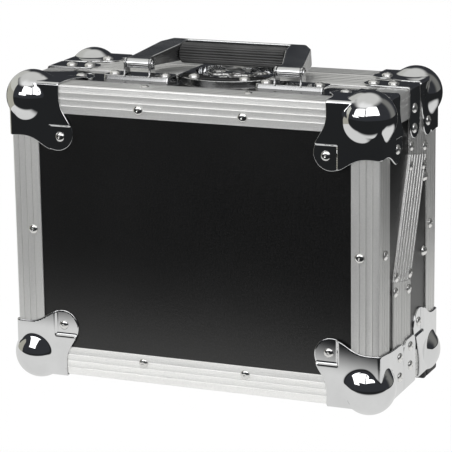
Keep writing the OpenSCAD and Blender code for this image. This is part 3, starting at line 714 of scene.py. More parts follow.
def corner_sdf(p, flat=False):
    r = 3.2
    q = (-O2 + r) - p
    box = np.linalg.norm(np.maximum(q, 0), axis=1) + np.minimum(q.max(1), 0) - r
    cut = (15.0 - p.sum(1)) / math.sqrt(3)
    box = np.maximum(box, cut)
    v = BI - p
    dome = np.linalg.norm(v, axis=1) - BR
    # on each face the ball runs out in a short cone before it turns into the plate
    sn, cs = math.sin(math.radians(CONE)), math.cos(math.radians(CONE))
    for i in range(3):
        j, k = (i + 1) % 3, (i + 2) % 3
        rad = np.hypot(v[:, j], v[:, k])
        near = np.maximum(0, 15.0 - np.minimum(p[:, j], p[:, k]))
        cone = rad * sn + v[:, i] * cs - BR + 0.0105 * near ** 2
        cone = np.maximum(np.maximum(cone, v[:, i] - BR * cs), p[:, i] + 1.0)
        dome = np.minimum(dome, cone)
    f = smin(box, dome, 1.25)
    if flat:
        f = np.maximum(f, -O2 - p[:, 2])
    return f


def march(p0, flat=False):
    """Moves points of the sharp box corner outwards, along rays from inside, on to the blended surface."""
    q0 = np.array([29.0, 29.0, 29.0])
    d = p0 - q0
    far = np.linalg.norm(d, axis=1)
    d = d / far[:, None]
    t = far + 14.0
    for _ in range(90):
        f = corner_sdf(q0 + d * t[:, None], flat)
        t = t - f * 0.8
    return q0 + d * t[:, None]


def soften(pts, n=2):
    """Cuts the corners of an open line, keeping its ends."""
    for _ in range(n):
        out = [pts[0]]
        for a, b in zip(pts, pts[1:]):
            out += [(a[0] * 0.75 + b[0] * 0.25, a[1] * 0.75 + b[1] * 0.25), (a[0] * 0.25 + b[0] * 0.75, a[1] * 0.25 + b[1] * 0.75)]
        pts = out + [pts[-1]]
    return pts


def std_outline(lift=0.0):
    half = [(55.7, -O2), (55.4, 4), (55.1, 11), (55.4, 16.5), (56.4, 21.6), (58.5, 27.0), (61.4, 31.9), (64.3, 36.2), (66.6, 40.4), (68.3, 45.0), (69.2, 49.6), (69.1, 54.0), (67.7, 58.6), (65.0, 62.8)]
    pts = [(-O2, -O2)] + soften(half + [(y, x) for x, y in reversed(half)])
    return [(x, y + lift * float(smooth01((y - 16) / 30))) for x, y in pts]


def short_outline():
    # u along the depth, v along the other edge
    pts = [(-O2, -O2), (56.4, -O2), (56.4, 14)] + [(56.0, 19), (54.2, 25)]
    pts += [(51.2, 32)] + arc(33, 42, 15, -14, 128, 26) + [(20, 56.6), (13, 55.6), (6, 55.3), (-O2, 55.3)]
    return pts


def long_outline():
    e = SB - 0.2
    pts = [(-O2, -O2), (e, -O2), (e, 40)] + arc(e - 9, 42.0, 9, 0, 90, 10) + [(52, 51.2), (40, 51.6), (26, 52.6), (12, 54.4), (-O2, 56.0)]
    return pts


def circle(cx, cy, r, n=24):
    return [(cx + r * math.cos(2 * math.pi * i / n), cy + r * math.sin(2 * math.pi * i / n)) for i in range(n)]


def corner_geo(kind):
    """kind 0 standard, 1 long legs at the split, 2 cut back at the split, 3 flat underside. Corner frame (a, b, c)."""
    plates = []
    std = std_outline()
    if kind in (0, 3):
        tall = std_outline(3.5) if kind == 3 else std
        plates = [("ac", tall, True), ("bc", tall, True), ("ab", std, True)]
    elif kind == 1:
        plates = [("ac", std, True), ("bc", long_outline(), False), ("ba", long_outline(), False)]
    else:
        plates = [("ac", std, True), ("bc", short_outline(), False), ("ba", short_outline(), False)]
    g = Geo()
    for axes, outline, pad in plates:
        ia, ib = "abc".index(axes[0]), "abc".index(axes[1])
        ic = 3 - ia - ib

        up = 3.5 if kind == 3 and axes != "ab" else 0.0

        def mapping(uv, depth, ia=ia, ib=ib, ic=ic, pad=pad, up=up):
            p = np.zeros((len(uv), 3))
            p[:, ia], p[:, ib], p[:, ic] = uv[:, 0], uv[:, 1], -O2
            q = march(p, kind == 3)
            far = np.maximum(uv[:, 0], uv[:, 1]) > 50
            low = depth.copy()
            if pad:
                s = smooth01((np.minimum(uv[:, 0] - 42.8, uv[:, 1] - 41.4 - up)) / 2.3)
                low = low + 2.3 * s
            q[:, ic] += low
            return q

        def free(mid):
            return (mid[:, 0] > -O2 + 0.05) & (mid[:, 1] > -O2 + 0.05)
        zones = [(lambda q: (q[:, 0] < 43) & (q[:, 1] < 43), 0.8), (lambda q: (q[:, 0] >= 43) | (q[:, 1] >= 43), 1.2)]
        g.merged(plate(outline, mapping, thick=T, rim=0.75, step=1.4, grid=zones, free=free))
    return g


def place_corner(g, right, rear, top):
    v = g.verts()
    x = (W / 2 - v[:, 0]) if right else (v[:, 0] - W / 2)
    y = (D - v[:, 1]) if rear else v[:, 1]
    z = (H - v[:, 2]) if top else v[:, 2]
    o = Geo()
    o.add(np.column_stack([x, y, z]), g.f)
    return o


corner_cache = {k: corner_geo(k) for k in (0, 1, 2, 3)}
for side, rear, kinds in (("lid", False, (0, 1)), ("base", True, (2, 3))):
    for top, kind in ((True, kinds[0]), (False, kinds[1])):
        for right in (True, False):
            nm = f"{side}_ball_{'top' if top else 'bottom'}_{'right' if right else 'left'}"
            make(nm + "_pressing", place_corner(corner_cache[kind], right, rear, top), CHR, side, [nm], sharp=38, weld=0.05)


# ------------------------------------------------------------------ braces
def brace_map(right, top):
    """u = depth, v = arc length from the crease: negative on the side, positive on the top or bottom."""
    r = 3.2

    def f(uv, depth):
        u, s = uv[:, 0], uv[:, 1]
        o = O2 - depth
        half = r * math.pi / 4
        x = np.empty(len(u))
        z = np.empty(len(u))
        a = s > half
        b = s < -half
        m = ~(a | b)
        x[a], z[a] = (r - O2) + (s[a] - half), -o[a]
        x[b], z[b] = -o[b], (r - O2) + (-s[b] - half)
        t = (s[m] / half) * (math.pi / 4) + math.pi / 4          # 0 on the side, pi/2 on top
        rr = r - depth[m]
        x[m] = (r - O2) - rr * np.cos(t)
        z[m] = (r - O2) - rr * np.sin(t)
        X = (W / 2 - x) if right else (x - W / 2)
        Z = (H - z) if top else z
        return np.column_stack([X, u, Z])
    return f


def brace(y0, y1, length, rad, right, top):
    w = y1 - y0
    half = 3.2 * math.pi / 4
    ln = length - (3.2 - O2) + half
    c0, c1 = (y0 + rad, ln - rad), (y1 - rad, ln - rad)
    pts = arc(c1[0], c1[1], rad, 0, 90, 12) + arc(c0[0], c0[1], rad, 90, 180, 12)
    pts += arc(c0[0], -c0[1], rad, 180, 270, 12) + arc(c1[0], -c1[1], rad, 270, 360, 12)
    zones = [(lambda q: abs(q[:, 1]) < 4, 0.9), (lambda q: abs(q[:, 1]) >= 4, 3.0)]
    return plate(pts, brace_map(right, top), thick=T, rim=0.75, step=2.0, grid=zones)


g = Geo()
for right in (True, False):
    g.merged(brace(ST - 31, ST - 0.35, 52, 15.0, right, True))
make("lid_brace_pressings", g, CHR, "lid", ["lid_braces"], sharp=38)
g = Geo()
for right in (True, False):
    g.merged(brace(SB + 0.5, SB + 38.5, 51.4, 11.0, right, False))
make("base_brace_pressings", g, CHR, "base", ["base_braces"], sharp=38)


# ------------------------------------------------------------------ rivets
def face_map(face):
    """(u, v) on a face plus height h outwards."""
    return {
        "front": lambda u, v, h: (u, -h, v),
        "back": lambda u, v, h: (u, D + h, v),
        "top": lambda u, v, h: (u, v, H + h),
        "bottom": lambda u, v, h: (u, v, -h),
        "right": lambda u, v, h: (W / 2 + h, u, v),
        "left": lambda u, v, h: (-W / 2 - h, u, v),
    }[face]


RIVET = [(4.55, -0.1), (4.72, 0.12), (4.7, 0.4), (4.45, 0.78), (3.9, 1.28), (3.1, 1.74), (2.2, 2.04), (1.35, 2.17), (1.05, 2.15), (0.8, 1.85), (0, 1.8)]


GROW = {"front": (1.07, 1.07), "back": (1.07, 1.07), "right": (1.07, 1.07), "left": (1.07, 1.07), "top": (1.2, 1.28), "bottom": (1.0, 1.0)}


def rivets(geo, items, face, seat0=None, profile=RIVET):
    fm = face_map(face)
    kr, kz = GROW[face] if profile is RIVET else (1.0, 1.0)
    for u, v, seat in items:
        a, q = lathe([(r * kr, z * kz) for r, z in profile], 26, lambda x, y, z: fm(u + x, v + y, seat + z))
        geo.add(a, q)


hp, pd, pl = 0.5, -0.3, O2
cx = W / 2 - PADC
lid_front = [(-56.6, H - 21.4, hp), (56.6, H - 21.4, hp), (-56.6, 21.4, hp), (56.6, 21.4, hp), (-W / 2 + 21, 154, hp), (W / 2 - 21, 154, hp),
             (-W / 2 + 52.6, 53.2, pd), (W / 2 - 53.6, 53.6, pd), (-cx, H - PADC, pd), (W / 2 - 56.2, H - 53.9, pd)]
lid_top = [(-cx, PADC, pd), (cx, PADC, pd), (-W / 2 + 20.5, 101, pl), (-W / 2 + 41.5, 101, pl), (W / 2 - 20.5, 101, pl), (W / 2 - 41.5, 101, pl),
           (-113, 67, 2.5), (-56, 67, 2.5), (56, 67, 2.5), (113, 67, 2.5), (-28, 77, 2.05), (28, 77, 2.05)]
lid_bottom = [(-45, 14, hp), (45, 14, hp), (-W / 2 + 38, 57, pl), (-W / 2 + 18, 57, pl), (W / 2 - 38, 57, pl), (W / 2 - 18, 57, pl)]
lid_bottom += [(s * 95 + x, SB - 15.5, pl) for s in (-1, 1) for x in (-22, 0, 22)]
lid_side = [(15, 155, 0.45), (PADC, H - PADC, pd), (57, 38, pl), (57, 17.5, pl), (100, H - 21, pl), (100, H - 41.5, pl),
            (SB - 22.3, SLO - 6, 0.3), (SB - 20.5, SLO + 9, 0.3), (ST - 25, SHI - 7, 0.3), (ST - 22.6, SHI + 13, 0.3)]
base_back = [(-56.6, H - 21.4, hp), (56.6, H - 21.4, hp), (-56.6, 21.4, hp), (56.6, 21.4, hp), (-W / 2 + 21, 154, hp), (W / 2 - 21, 154, hp),
             (-cx, PADC, pd), (cx, PADC, pd), (-cx, H - PADC, pd), (cx, H - PADC, pd)]
base_top = [(-W / 2 + 42, D - 33.5, pl), (W / 2 - 42, D - 33.5, pl), (-37, 160, 2.05), (37, 160, 2.05)]
base_bottom = [(-45, D - 14, hp), (45, D - 14, hp), (-cx, D - PADC, pd), (cx, D - PADC, pd), (-W / 2 + 41, 90.5, pl), (-W / 2 + 20.5, 90.5, pl), (W / 2 - 41, 90.5, pl), (W / 2 - 20.5, 90.5, pl)]
base_bottom += [(s * 95 + x, SB + 15.5, pl) for s in (-1, 1) for x in (-22, 0, 22)]
base_side = [(D - 21, 155, hp), (D - PADC, PADC + 3.5, pd), (D - 33.5, H - 42, pl), (90.5, 41, pl), (90.5, 20.5, pl),
             (SB + 19.5, SLO - 13, 0.3), (SB + 22.3, SLO + 3, 0.3), (ST + 16.2, SHI - 14, 0.3), (ST + 20, SHI + 5, 0.3)]
g = Geo()
rivets(g, lid_front, "front")
rivets(g, [(-56.2, 17, -0.7), (56.2, 17, -0.7)], "top", profile=list(RIVET))
make("lid_rivet_heads_front", g, RIV, "lid", ["lid_rivets"], sharp=50)
g = Geo()
rivets(g, lid_top, "top"); rivets(g, lid_bottom, "bottom"); rivets(g, lid_side, "right"); rivets(g, lid_side, "left")
# painted light: these rivets take the brighter satin copy of the rivet steel
make("lid_rivet_heads_around", g, RIV_LIT, "lid", (), sharp=50)
g = Geo()
rivets(g, base_back, "back")
make("base_rivet_heads_back", g, RIV, "base", ["base_rivets"], sharp=50)
g = Geo()
rivets(g, base_top, "top"); rivets(g, base_bottom, "bottom"); rivets(g, base_side, "right"); rivets(g, base_side, "left")
# painted light: these rivets take the brighter satin copy of the rivet steel
make("base_rivet_heads_around", g, RIV_LIT, "base", (), sharp=50)
BOLT = [(5.5, -0.2)] + [(5.78 * math.sin(math.radians(a)), 5.78 * math.cos(math.radians(a)) - 1.7) for a in (72, 62, 52, 42, 32, 22, 12, 0)]
g = Geo()
for f in ("left", "right"):
    rivets(g, [(D - 35.8, 208, -1.8), (D - 35.8, 129, -1.8)], f, profile=BOLT)
    fm = face_map(f)
    for z in (208, 129):
        a, q = lathe([(0, -13.6), (3, -13.6), (3, -12.85), (5.2, -12.85), (5.5, -12.6), (5.5, -9.1), (5.2, -8.85), (3.0, -8.85)], 6 * 4, lambda x, y, h: fm(D - 35.8 + x, z + y, h))
        g.add(a, q)
# painted light: the bolts take the brighter satin copy of the rivet steel
make("side_dome_bolts", g, RIV_LIT, "base", ["side_bolts"], sharp=50)

# ------------------------------------------------------------------ handle brackets
PY, PH = 62.0, 15.0


def rounded_rect(x0, x1, y0, y1, r, n=7):
    return arc(x1 - r, y0 + r, r, -90, 0, n) + arc(x1 - r, y1 - r, r, 0, 90, n) + arc(x0 + r, y1 - r, r, 90, 180, n) + arc(x0 + r, y0 + r, r, 180, 270, n)


def bracket_geo():
    g = Geo()
    out = rounded_rect(47.8, 121, 54, 80, 4)
    g.merged(plate(out, lambda uv, d: np.column_stack([uv[:, 0], uv[:, 1] + 1.7 * (1 - smooth01((uv[:, 1] - 54) / 7)) * (1 - np.clip(d / 4.2, 0, 1)), H + 2.5 - d]), thick=4.2, rim=0.9, step=2.5))
    for x in (68, 96):
        # one ear with a folded foot and an open eye for the pin
        pts = arc(PY, PH, 5.6, -8, 188, 22) + [(PY - 5.9, 9), (PY - 6.6, 5.6), (PY - 7.4, 3.6), (PY - 8.4, 2.5), (PY + 8.4, 2.5), (PY + 7.4, 3.6), (PY + 6.6, 5.6), (PY + 5.9, 9)]
        for xs, sign in ((x + 2.0, 1), (x, -1)):
            g.merged(plate(pts, (lambda xs, sign: lambda uv, d: np.column_stack([np.full(len(uv), xs) - sign * d, uv[:, 0], H + uv[:, 1]]))(xs, sign),
                           holes=[circle(PY, PH, 2.55, 20)], thick=1.0, rim=0.45, step=1.2, hole_rim=0.25))
    return g


bg = bracket_geo()
for nm, flip in (("right", None), ("left", (-1, 1, 1))):
    ob = make(f"handle_bracket_{nm}_pan", Geo().merged(bg, flip), CHR, "lid", [f"handle_bracket_{nm}"], sharp=38)
    # painted shading: the lip's front-facing faces take a toned copy of the chrome that stands in for the light and
    # shade on them
    second(ob, LIP_SHADING, lambda n: n[1] < -0.75)
g = Geo()
v, f = lathe([(0, 66.5), (2.2, 66.5), (3.3, 66.7), (3.6, 67.1), (3.6, 67.6), (2.5, 67.9), (2.5, 98.1), (3.6, 98.3), (3.6, 98.8), (3.3, 99.3), (2.2, 99.5), (0, 99.5)], 24,
             lambda x, y, z: (z, PY + x, H + PH + y))
g.add(v, f)
make("handle_cross_pins", g.mirrored_x(), CHR, "lid", ["handle_pins"], sharp=40)

# ------------------------------------------------------------------ handle bow
TA = math.radians(9.2)
HL, XO = 71.5, 80.7


def lay(x, u, w):
    x, u, w = np.broadcast_arrays(np.asarray(x, float), np.asarray(u, float), np.asarray(w, float))
    return np.column_stack([x.ravel(), PY + (u * math.cos(TA) - w * math.sin(TA)).ravel(), H + PH + (u * math.sin(TA) + w * math.cos(TA)).ravel()])


def bow_outline():
    right = [(95.3, -1.5), (95.3, 3), (95.1, 7)]
    end = arc(XO - 0.6, HL - 14.4, 4.3, 5, 34, 5) + arc(XO - 8.6, HL - 4.4, 4.3, 42, 90, 7)
    left = [(-x, y) for x, y in reversed(right + end)]
    inner = [(-70.7, -1.5), (-71.3, 9), (-58.7, HL - 19.5), (-58.1, HL - 4.4), (-57.5, HL - 3.2), (57.5, HL - 3.2), (58.1, HL - 4.4), (58.7, HL - 19.5), (71.3, 9), (70.7, -1.5)]
    return right + end + left + inner


def low_w(u):
    return np.interp(u, [-2, 9, 49.5, 72.0], [-5.0, -5.0, -12.4, -11.5])


def bow():
    g = Geo()
    out = clean(bow_outline())
    if area(out) < 0:
        out = out[::-1]

    def top(uv, d):
        return lay(uv[:, 0], uv[:, 1], 5.0 - d)
    g.merged(plate(out, top, thick=1.9, rim=1.3, step=2.0))
    # walls down to the lower edge
    o = np.array(resample(out, 2.0))
    n = len(o)
    up = lay(o[:, 0], o[:, 1], 3.2)
    dn = lay(o[:, 0], o[:, 1], low_w(o[:, 1]))
    g.add(np.vstack([up, dn]), [[i, (i + 1) % n, n + (i + 1) % n, n + i] for i in range(n)])
    # underside: lower rim and the hollow of each arm
    hol = [(93.5, 7.5), (73.8, 10.2), (60.9, HL - 19), (60.5, HL - 2.6), (XO - 8.4, HL - 2.4), (XO + 1.4, HL - 14.8)]
    hol = resample(hol, 3.0)
    hols = [hol, [(-x, y) for x, y in hol]]
    g.merged(plate([tuple(p) for p in o], lambda uv, d: lay(uv[:, 0], uv[:, 1], low_w(uv[:, 1]) + d), holes=hols, thick=0.6, rim=0.3, step=4.0, skirt=False, hole_rim=0.2))
    for h in hols:
        a = np.array(h)
        m = len(a)
        g.add(np.vstack([lay(a[:, 0], a[:, 1], low_w(a[:, 1])), lay(a[:, 0], a[:, 1], 3.2)]), [[i, (i + 1) % m, m + (i + 1) % m, m + i] for i in range(m)] + [[m + i for i in range(m)]])
    return g


ob = make("handle_bow", bow(), CHR_H, "handle", ["handle_frame"], sharp=40)
# painted shade: the inner faces of the arms take a dark copy of the handle steel
second(ob, BOW_INNER_SHADE, lambda n: abs(n.x) > 0.5, lambda c: 0.0572 < abs(c.x) < 0.0722)
# painted highlight: the outer walls of the arms take the near-white copy in place of the reflection the steel shows
second(ob, BOW_FLANK_LIT, lambda n: abs(n.x) > 0.9 and abs(n.z) < 0.4, lambda c: abs(c.x) > 0.0825)
g = Geo()
prof = [(2.56, 70.7), (4.7, 70.7), (5.0, 71.0), (5.0, 94.9), (4.7, 95.2), (2.56, 95.2), (2.56, 70.7)]
v, f = lathe(prof, 40, lambda x, y, z: tuple(lay(z, x, y)[0]))
g.add(v, f)
v, f = sweep([(-19.0, -8.4), (-11.0, -8.4), (-11.0, -4.6), (-19.0, -4.6)], [lambda s, t: tuple(lay(57.0, HL + s, t)[0]), lambda s, t: tuple(lay(59.6, HL + s, t)[0])])
g.add(v, f)
make("handle_barrels", g.mirrored_x(), CHR, "handle", sharp=40)

# grip: ribs along its length, rounded ends
GR = 11.0


def grip_geo():
    n_rib, per = 22, 10
    rings = []
    xs = [-59.3, -59.3, -58.9, -58.2, -57.3, 55.7, 56.6, 57.3, 57.7, 57.7]
    rr = [0.25, 0.86, 0.93, 0.975, 1.0, 1.0, 0.975, 0.93, 0.86, 0.25]
    v = []
    n = n_rib * per
    for x, k in zip(xs, rr):
        for i in range(n):
            a = 2 * math.pi * i / n
            ph = (i % per) / per
            rib = (abs(math.sin(math.pi * ph))) ** 0.7
            r = (GR - 1.75 * (1 - rib)) * k
            v.append(tuple(lay(x, HL - 14.2 + r * math.cos(a), -6.0 + r * math.sin(a))[0]))
    f = []
    for k in range(len(xs) - 1):
        for i in range(n):
            j = (i + 1) % n
            f.append([k * n + i, k * n + j, (k + 1) * n + j, (k + 1) * n + i])
    f.append(list(range(n)))
    f.append([(len(xs) - 1) * n + i for i in range(n)])
    return Geo().add(v, f)


make("handle_ribbed_grip", grip_geo(), GRIP, "handle", ["handle_grip"], sharp=60)

# ------------------------------------------------------------------ latch dish
BWY, BWR, BWD, HUBY = 122.0, 42.0, 12.0, 128.0


def dish_outline(front):
    c = BWY - 3.5
    y_lim = ST - 0.15 if front else ST + 0.15
    pts = []
    if front:
        a0 = math.degrees(math.asin(48 / 62))
        pts = [(48, y_lim), (-48, y_lim)]
        rim = [(62 * math.sin(math.radians(t)), c - 62 * math.cos(math.radians(t))) for t in np.linspace(-a0, a0, 40)]
        return pts + rim
    pts = [(-48, y_lim), (48, y_lim), (48, c + 34)]
    pts += arc(38.0, 158.0, 10.0, 2, 90, 10) + [(0, 168)] + arc(-38.0, 158.0, 10.0, 90, 178, 10) + [(-48, c + 34)]
    return pts


def dish(front):
    g = Geo()
    out = clean(dish_outline(front))
    if area(out) < 0:
        out = out[::-1]
    # flange with the half-round opening cut in its straight side
    dy = (ST - BWY) - (0.15 if front else -0.15)
    hx = math.sqrt(BWR ** 2 - dy ** 2)
    yl = BWY + dy
    a_r = math.degrees(math.atan2(dy, hx))
    if front:
        bowl = arc(BWY * 0, BWY, BWR, a_r, -180 - a_r, 60)          # from the right end, under, to the left end
        body = [p for p in out if not (abs(p[1] - yl) < 0.02)]
        poly = [(48, yl)] + bowl + [(-48, yl)] + sorted([p for p in body], key=lambda p: math.atan2(p[0], -(p[1] - 118.5)))
    else:
        bowl = arc(0, BWY, BWR, 180 - a_r, a_r, 60)                   # from the left end, over, to the right end
        body = [p for p in out if not (abs(p[1] - yl) < 0.02)]
        poly = [(-48, yl)] + bowl + [(48, yl)] + sorted([p for p in body], key=lambda p: -math.atan2(p[0], p[1] - 118.5))
    poly = clean(poly)
    g.merged(plate(poly, lambda uv, d: np.column_stack([uv[:, 0], uv[:, 1], H + O2 - d]), thick=T, rim=0.75, step=2.2,
                   free=lambda mid: (np.abs(np.hypot(mid[:, 0], mid[:, 1] - BWY) - BWR) > 0.12)))
    # bowl wall with a rolled shoulder and a coved foot
    angs = np.linspace(a_r, -180 - a_r, 73) if front else np.linspace(180 - a_r, a_r, 73)
    prof = [(BWR, O2)] + [(BWR - 1.6 + 1.6 * math.cos(math.radians(t)), O2 - 1.6 + 1.6 * math.sin(math.radians(t))) for t in (75, 50, 25, 0)]
    prof = [(BWR + 0.0 - 0.0, O2), (BWR - 0.02, O2 - 0.3), (BWR - 0.05, O2 - 1.0), (BWR - 0.2, -2.0), (BWR - 0.6, -7.0), (BWR - 0.9, -9.2), (BWR - 1.5, -10.8), (BWR - 2.6, -11.7), (BWR - 3.8, -12.0)]
    v, f = [], []
    m = len(prof)
    for t in angs:
        for r, z in prof:
            v.append((r * math.cos(math.radians(t)), BWY + r * math.sin(math.radians(t)), H + z))
    for i in range(len(angs) - 1):
        for k in range(m - 1):
            f.append([i * m + k, (i + 1) * m + k, (i + 1) * m + k + 1, i * m + k + 1])
    g.add(v, f)
    # floor
    R = BWR - 3.8
    hx2 = math.sqrt(R ** 2 - dy ** 2)
    b_r = math.degrees(math.atan2(dy, hx2))
    floor = arc(0, BWY, R, b_r, -180 - b_r, 72) if front else arc(0, BWY, R, 180 - b_r, b_r, 72)
    holes = [circle(0, HUBY - 24, 2.0, 16)] if front else [circle(0, HUBY, 4.56, 24)]
    g.merged(plate(floor, lambda uv, d: np.column_stack([uv[:, 0], uv[:, 1], H - BWD - d]), holes=holes, thick=1.2, rim=0.1, step=3.0,
                   free=lambda mid: np.abs(mid[:, 1] - yl) < 0.05, hole_rim=0.2))
    # underside of the bowl
    v, f = [], []
    for t in angs:
        for r, z in ((BWR + 1.2, 0.5), (BWR + 1.2, -BWD - 1.0), (BWR + 1.0, -BWD - 1.2), (BWR - 3.8, -BWD - 1.2)):
            v.append((r * math.cos(math.radians(t)), BWY + r * math.sin(math.radians(t)), H + z))
    for i in range(len(angs) - 1):
        for k in range(3):
            f.append([i * 4 + k, (i + 1) * 4 + k, (i + 1) * 4 + k + 1, i * 4 + k + 1])
    g.add(v, f)
    if front:
        # apron down to the board, in front of the closing profile
        a0 = math.degrees(math.asin(48 / 62))
        rim = [(48, ST - 27.3)] + [(62 * math.sin(math.radians(t)), 118.5 - 62 * math.cos(math.radians(t))) for t in np.linspace(a0, -a0, 48)] + [(-48, ST - 27.3)]
        n = len(rim)
        v = [(x, y, H + O1 + 0.3) for x, y in rim] + [(x, y, H - 1.78) for x, y in rim]
        g.add(v, [[i, i + 1, n + i + 1, n + i] for i in range(n - 1)])
    return g


ob = make("keeper_dish_pressing", dish(True), CHR, "lid", ["keeper_dish"], sharp=40)
# painted shade: the upright faces round the keeper dish take a very dark copy of the chrome
second(ob, APR_SHADE, lambda n: abs(n.z) < 0.3, lambda c: math.hypot(c.x, c.y - 0.0295) > 0.0612)
make("latch_dish_pressing", dish(False), CHR, "base", ["latch_dish"], sharp=40)
g = Geo()
v, f = lathe([(0, -15), (3.0, -15), (3.2, -14.6), (3.2, -13.4), (2.0, -13.3), (2.0, -12.0), (3.0, -12.0), (3.0, -7.2), (2.6, -6.6), (0, -6.5)], 24, lambda x, y, z: (x, HUBY - 24 + y, H + z))
g.add(v, f)
make("keeper_stud", g, CHR, "lid", ["keeper_post"], sharp=40)


# ------------------------------------------------------------------ latch key
def torus_loop(path, r, seg=10):
    """Closed round bar along path (3D points)."""
    p = np.array(path, float)
    n = len(p)
    t = np.roll(p, -1, 0) - np.roll(p, 1, 0)
    t /= np.linalg.norm(t, axis=1)[:, None]
    up = np.array([0, 0, 1.0])
    v = []
    for i in range(n):
        s = np.cross(t[i], up)
        s /= np.linalg.norm(s)
        u = np.cross(s, t[i])
        for k in range(seg):
            a = 2 * math.pi * k / seg
            v.append(p[i] + r * (math.cos(a) * s + math.sin(a) * u))
    f = [[i * seg + k, ((i + 1) % n) * seg + k, ((i + 1) % n) * seg + (k + 1) % seg, i * seg + (k + 1) % seg] for i in range(n) for k in range(seg)]
    return v, f


def wings_geo():
    """Two folding finger loops of pressed sheet, lying flat."""
    g = Geo()
    outer = arc(22.8, 0, 11.0, -142, 142, 40) + arc(0, 0, 10.0, 42, 138, 14)
    outer += arc(-22.8, 0, 11.0, 38, 322, 40) + arc(0, 0, 10.0, 222, 318, 14)
    holes = [circle(22.8, 0, 6.9, 28), circle(-22.8, 0, 6.9, 28)]
    holes.append(circle(0, 0, 6.05, 24))
    for z, sgn in ((-1.4, 1), (-4.4, -1)):
        g.merged(plate(outer, (lambda z, sgn: lambda uv, d: np.column_stack([uv[:, 0], HUBY + uv[:, 1], H + z - sgn * d]))(z, sgn), holes=holes, thick=1.5, rim=1.45, step=1.6, hole_rim=1.3))
    return g


make("latch_finger_loops", wings_geo(), WING, "key", ["latch_wings"], sharp=42)
g = Geo()
v, f = lathe([(0, -15.2), (6.6, -15.2), (7, -14.9), (7, -13.6), (6.7, -13.4), (4.5, -13.4), (4.5, -11.7), (6.8, -11.7), (7, -11.5), (7, -4.7), (6.8, -4.5), (6.0, -4.45), (6.0, -1.6), (5.6, -1.1), (4.2, -1.0), (3.6, -1.3), (0, -1.5)], 36,
             lambda x, y, z: (x, HUBY + y, H + z))
g.add(v, f)
# painted light: the hub takes the brighter satin copy of the rivet steel
make("latch_hub_turned", g, RIV_LIT, "key", ["latch_hub"], sharp=40)


def claw_outline():
    pts = [(9.5 * math.cos(math.radians(t)), 9.5 * math.sin(math.radians(t))) for t in np.linspace(148, 442, 50)]
    pts += [(31 * math.cos(math.radians(t)), 31 * math.sin(math.radians(t))) for t in np.linspace(82, 149, 26)]
    pts += [(27.3 * math.cos(math.radians(t)), 27.3 * math.sin(math.radians(t))) for t in np.linspace(149, 90, 24)]
    pts += [(3.3 * math.cos(math.radians(t)), 24 + 3.3 * math.sin(math.radians(t))) for t in np.linspace(78, -78, 10)]
    pts += [(20.7 * math.cos(math.radians(t)), 20.7 * math.sin(math.radians(t))) for t in np.linspace(90, 148, 22)]
    return clean(pts)


g = Geo()
co = claw_outline()
for z, sgn in ((-7.0, 1), (-9.5, -1)):
    g.merged(plate(co, (lambda z, sgn: lambda uv, d: np.column_stack([uv[:, 0], HUBY + uv[:, 1], H + z - sgn * d]))(z, sgn), holes=[circle(0, 0, 7.03, 28)], thick=1.25, rim=0.35, step=2.0))
make("latch_claw_blank", g, CHR, "key", ["latch_claw"], sharp=40)


# ------------------------------------------------------------------ feet
def foot():
    x0, x1 = W / 2 - 43, W / 2 - 0.8
    g = Geo()
    # side view in (y, z), swept across with rounded ends
    r = 1.6
    def prof(k):
        yy0, yy1, zb, zt = 145 + k, 188 - k, -FOOT + k * 0.6, -O2 - 0.06
        p = [(yy0, zt), (yy0, zb + r), (yy0 + 0.5, zb + 0.5), (yy0 + r, zb)]
        p += [(152.5 - 0.5, zb), (152.5 + k * 0.2, zb + 0.5), (152.7, -FOOT + 5.4), (153.2, -FOOT + 6), (155.8, -FOOT + 6), (156.3, -FOOT + 5.4), (156.5 - k * 0.2, zb + 0.5), (157.0, zb)]
        p += [(yy1 - r, zb), (yy1 - 0.5, zb + 0.5), (yy1, zb + r), (yy1, zt)]
        return p
    ks = [(x0, 1.2), (x0 + 0.35, 0.45), (x0 + 1.2, 0.0), (x1 - 1.2, 0.0), (x1 - 0.35, 0.45), (x1, 1.2)]
    v = []
    n = len(prof(0))
    for x, k in ks:
        v += [(x, y, z) for y, z in prof(k)]
    f = []
    for a in range(len(ks) - 1):
        for i in range(n):
            j = (i + 1) % n
            f.append([a * n + i, a * n + j, (a + 1) * n + j, (a + 1) * n + i])
    f += [list(range(n)), [(len(ks) - 1) * n + i for i in range(n)]]
    g.add(v, f)
    return g


make("rubber_foot_blocks", foot().mirrored_x(), FOOTM, "base", ["rubber_feet"], sharp=35)

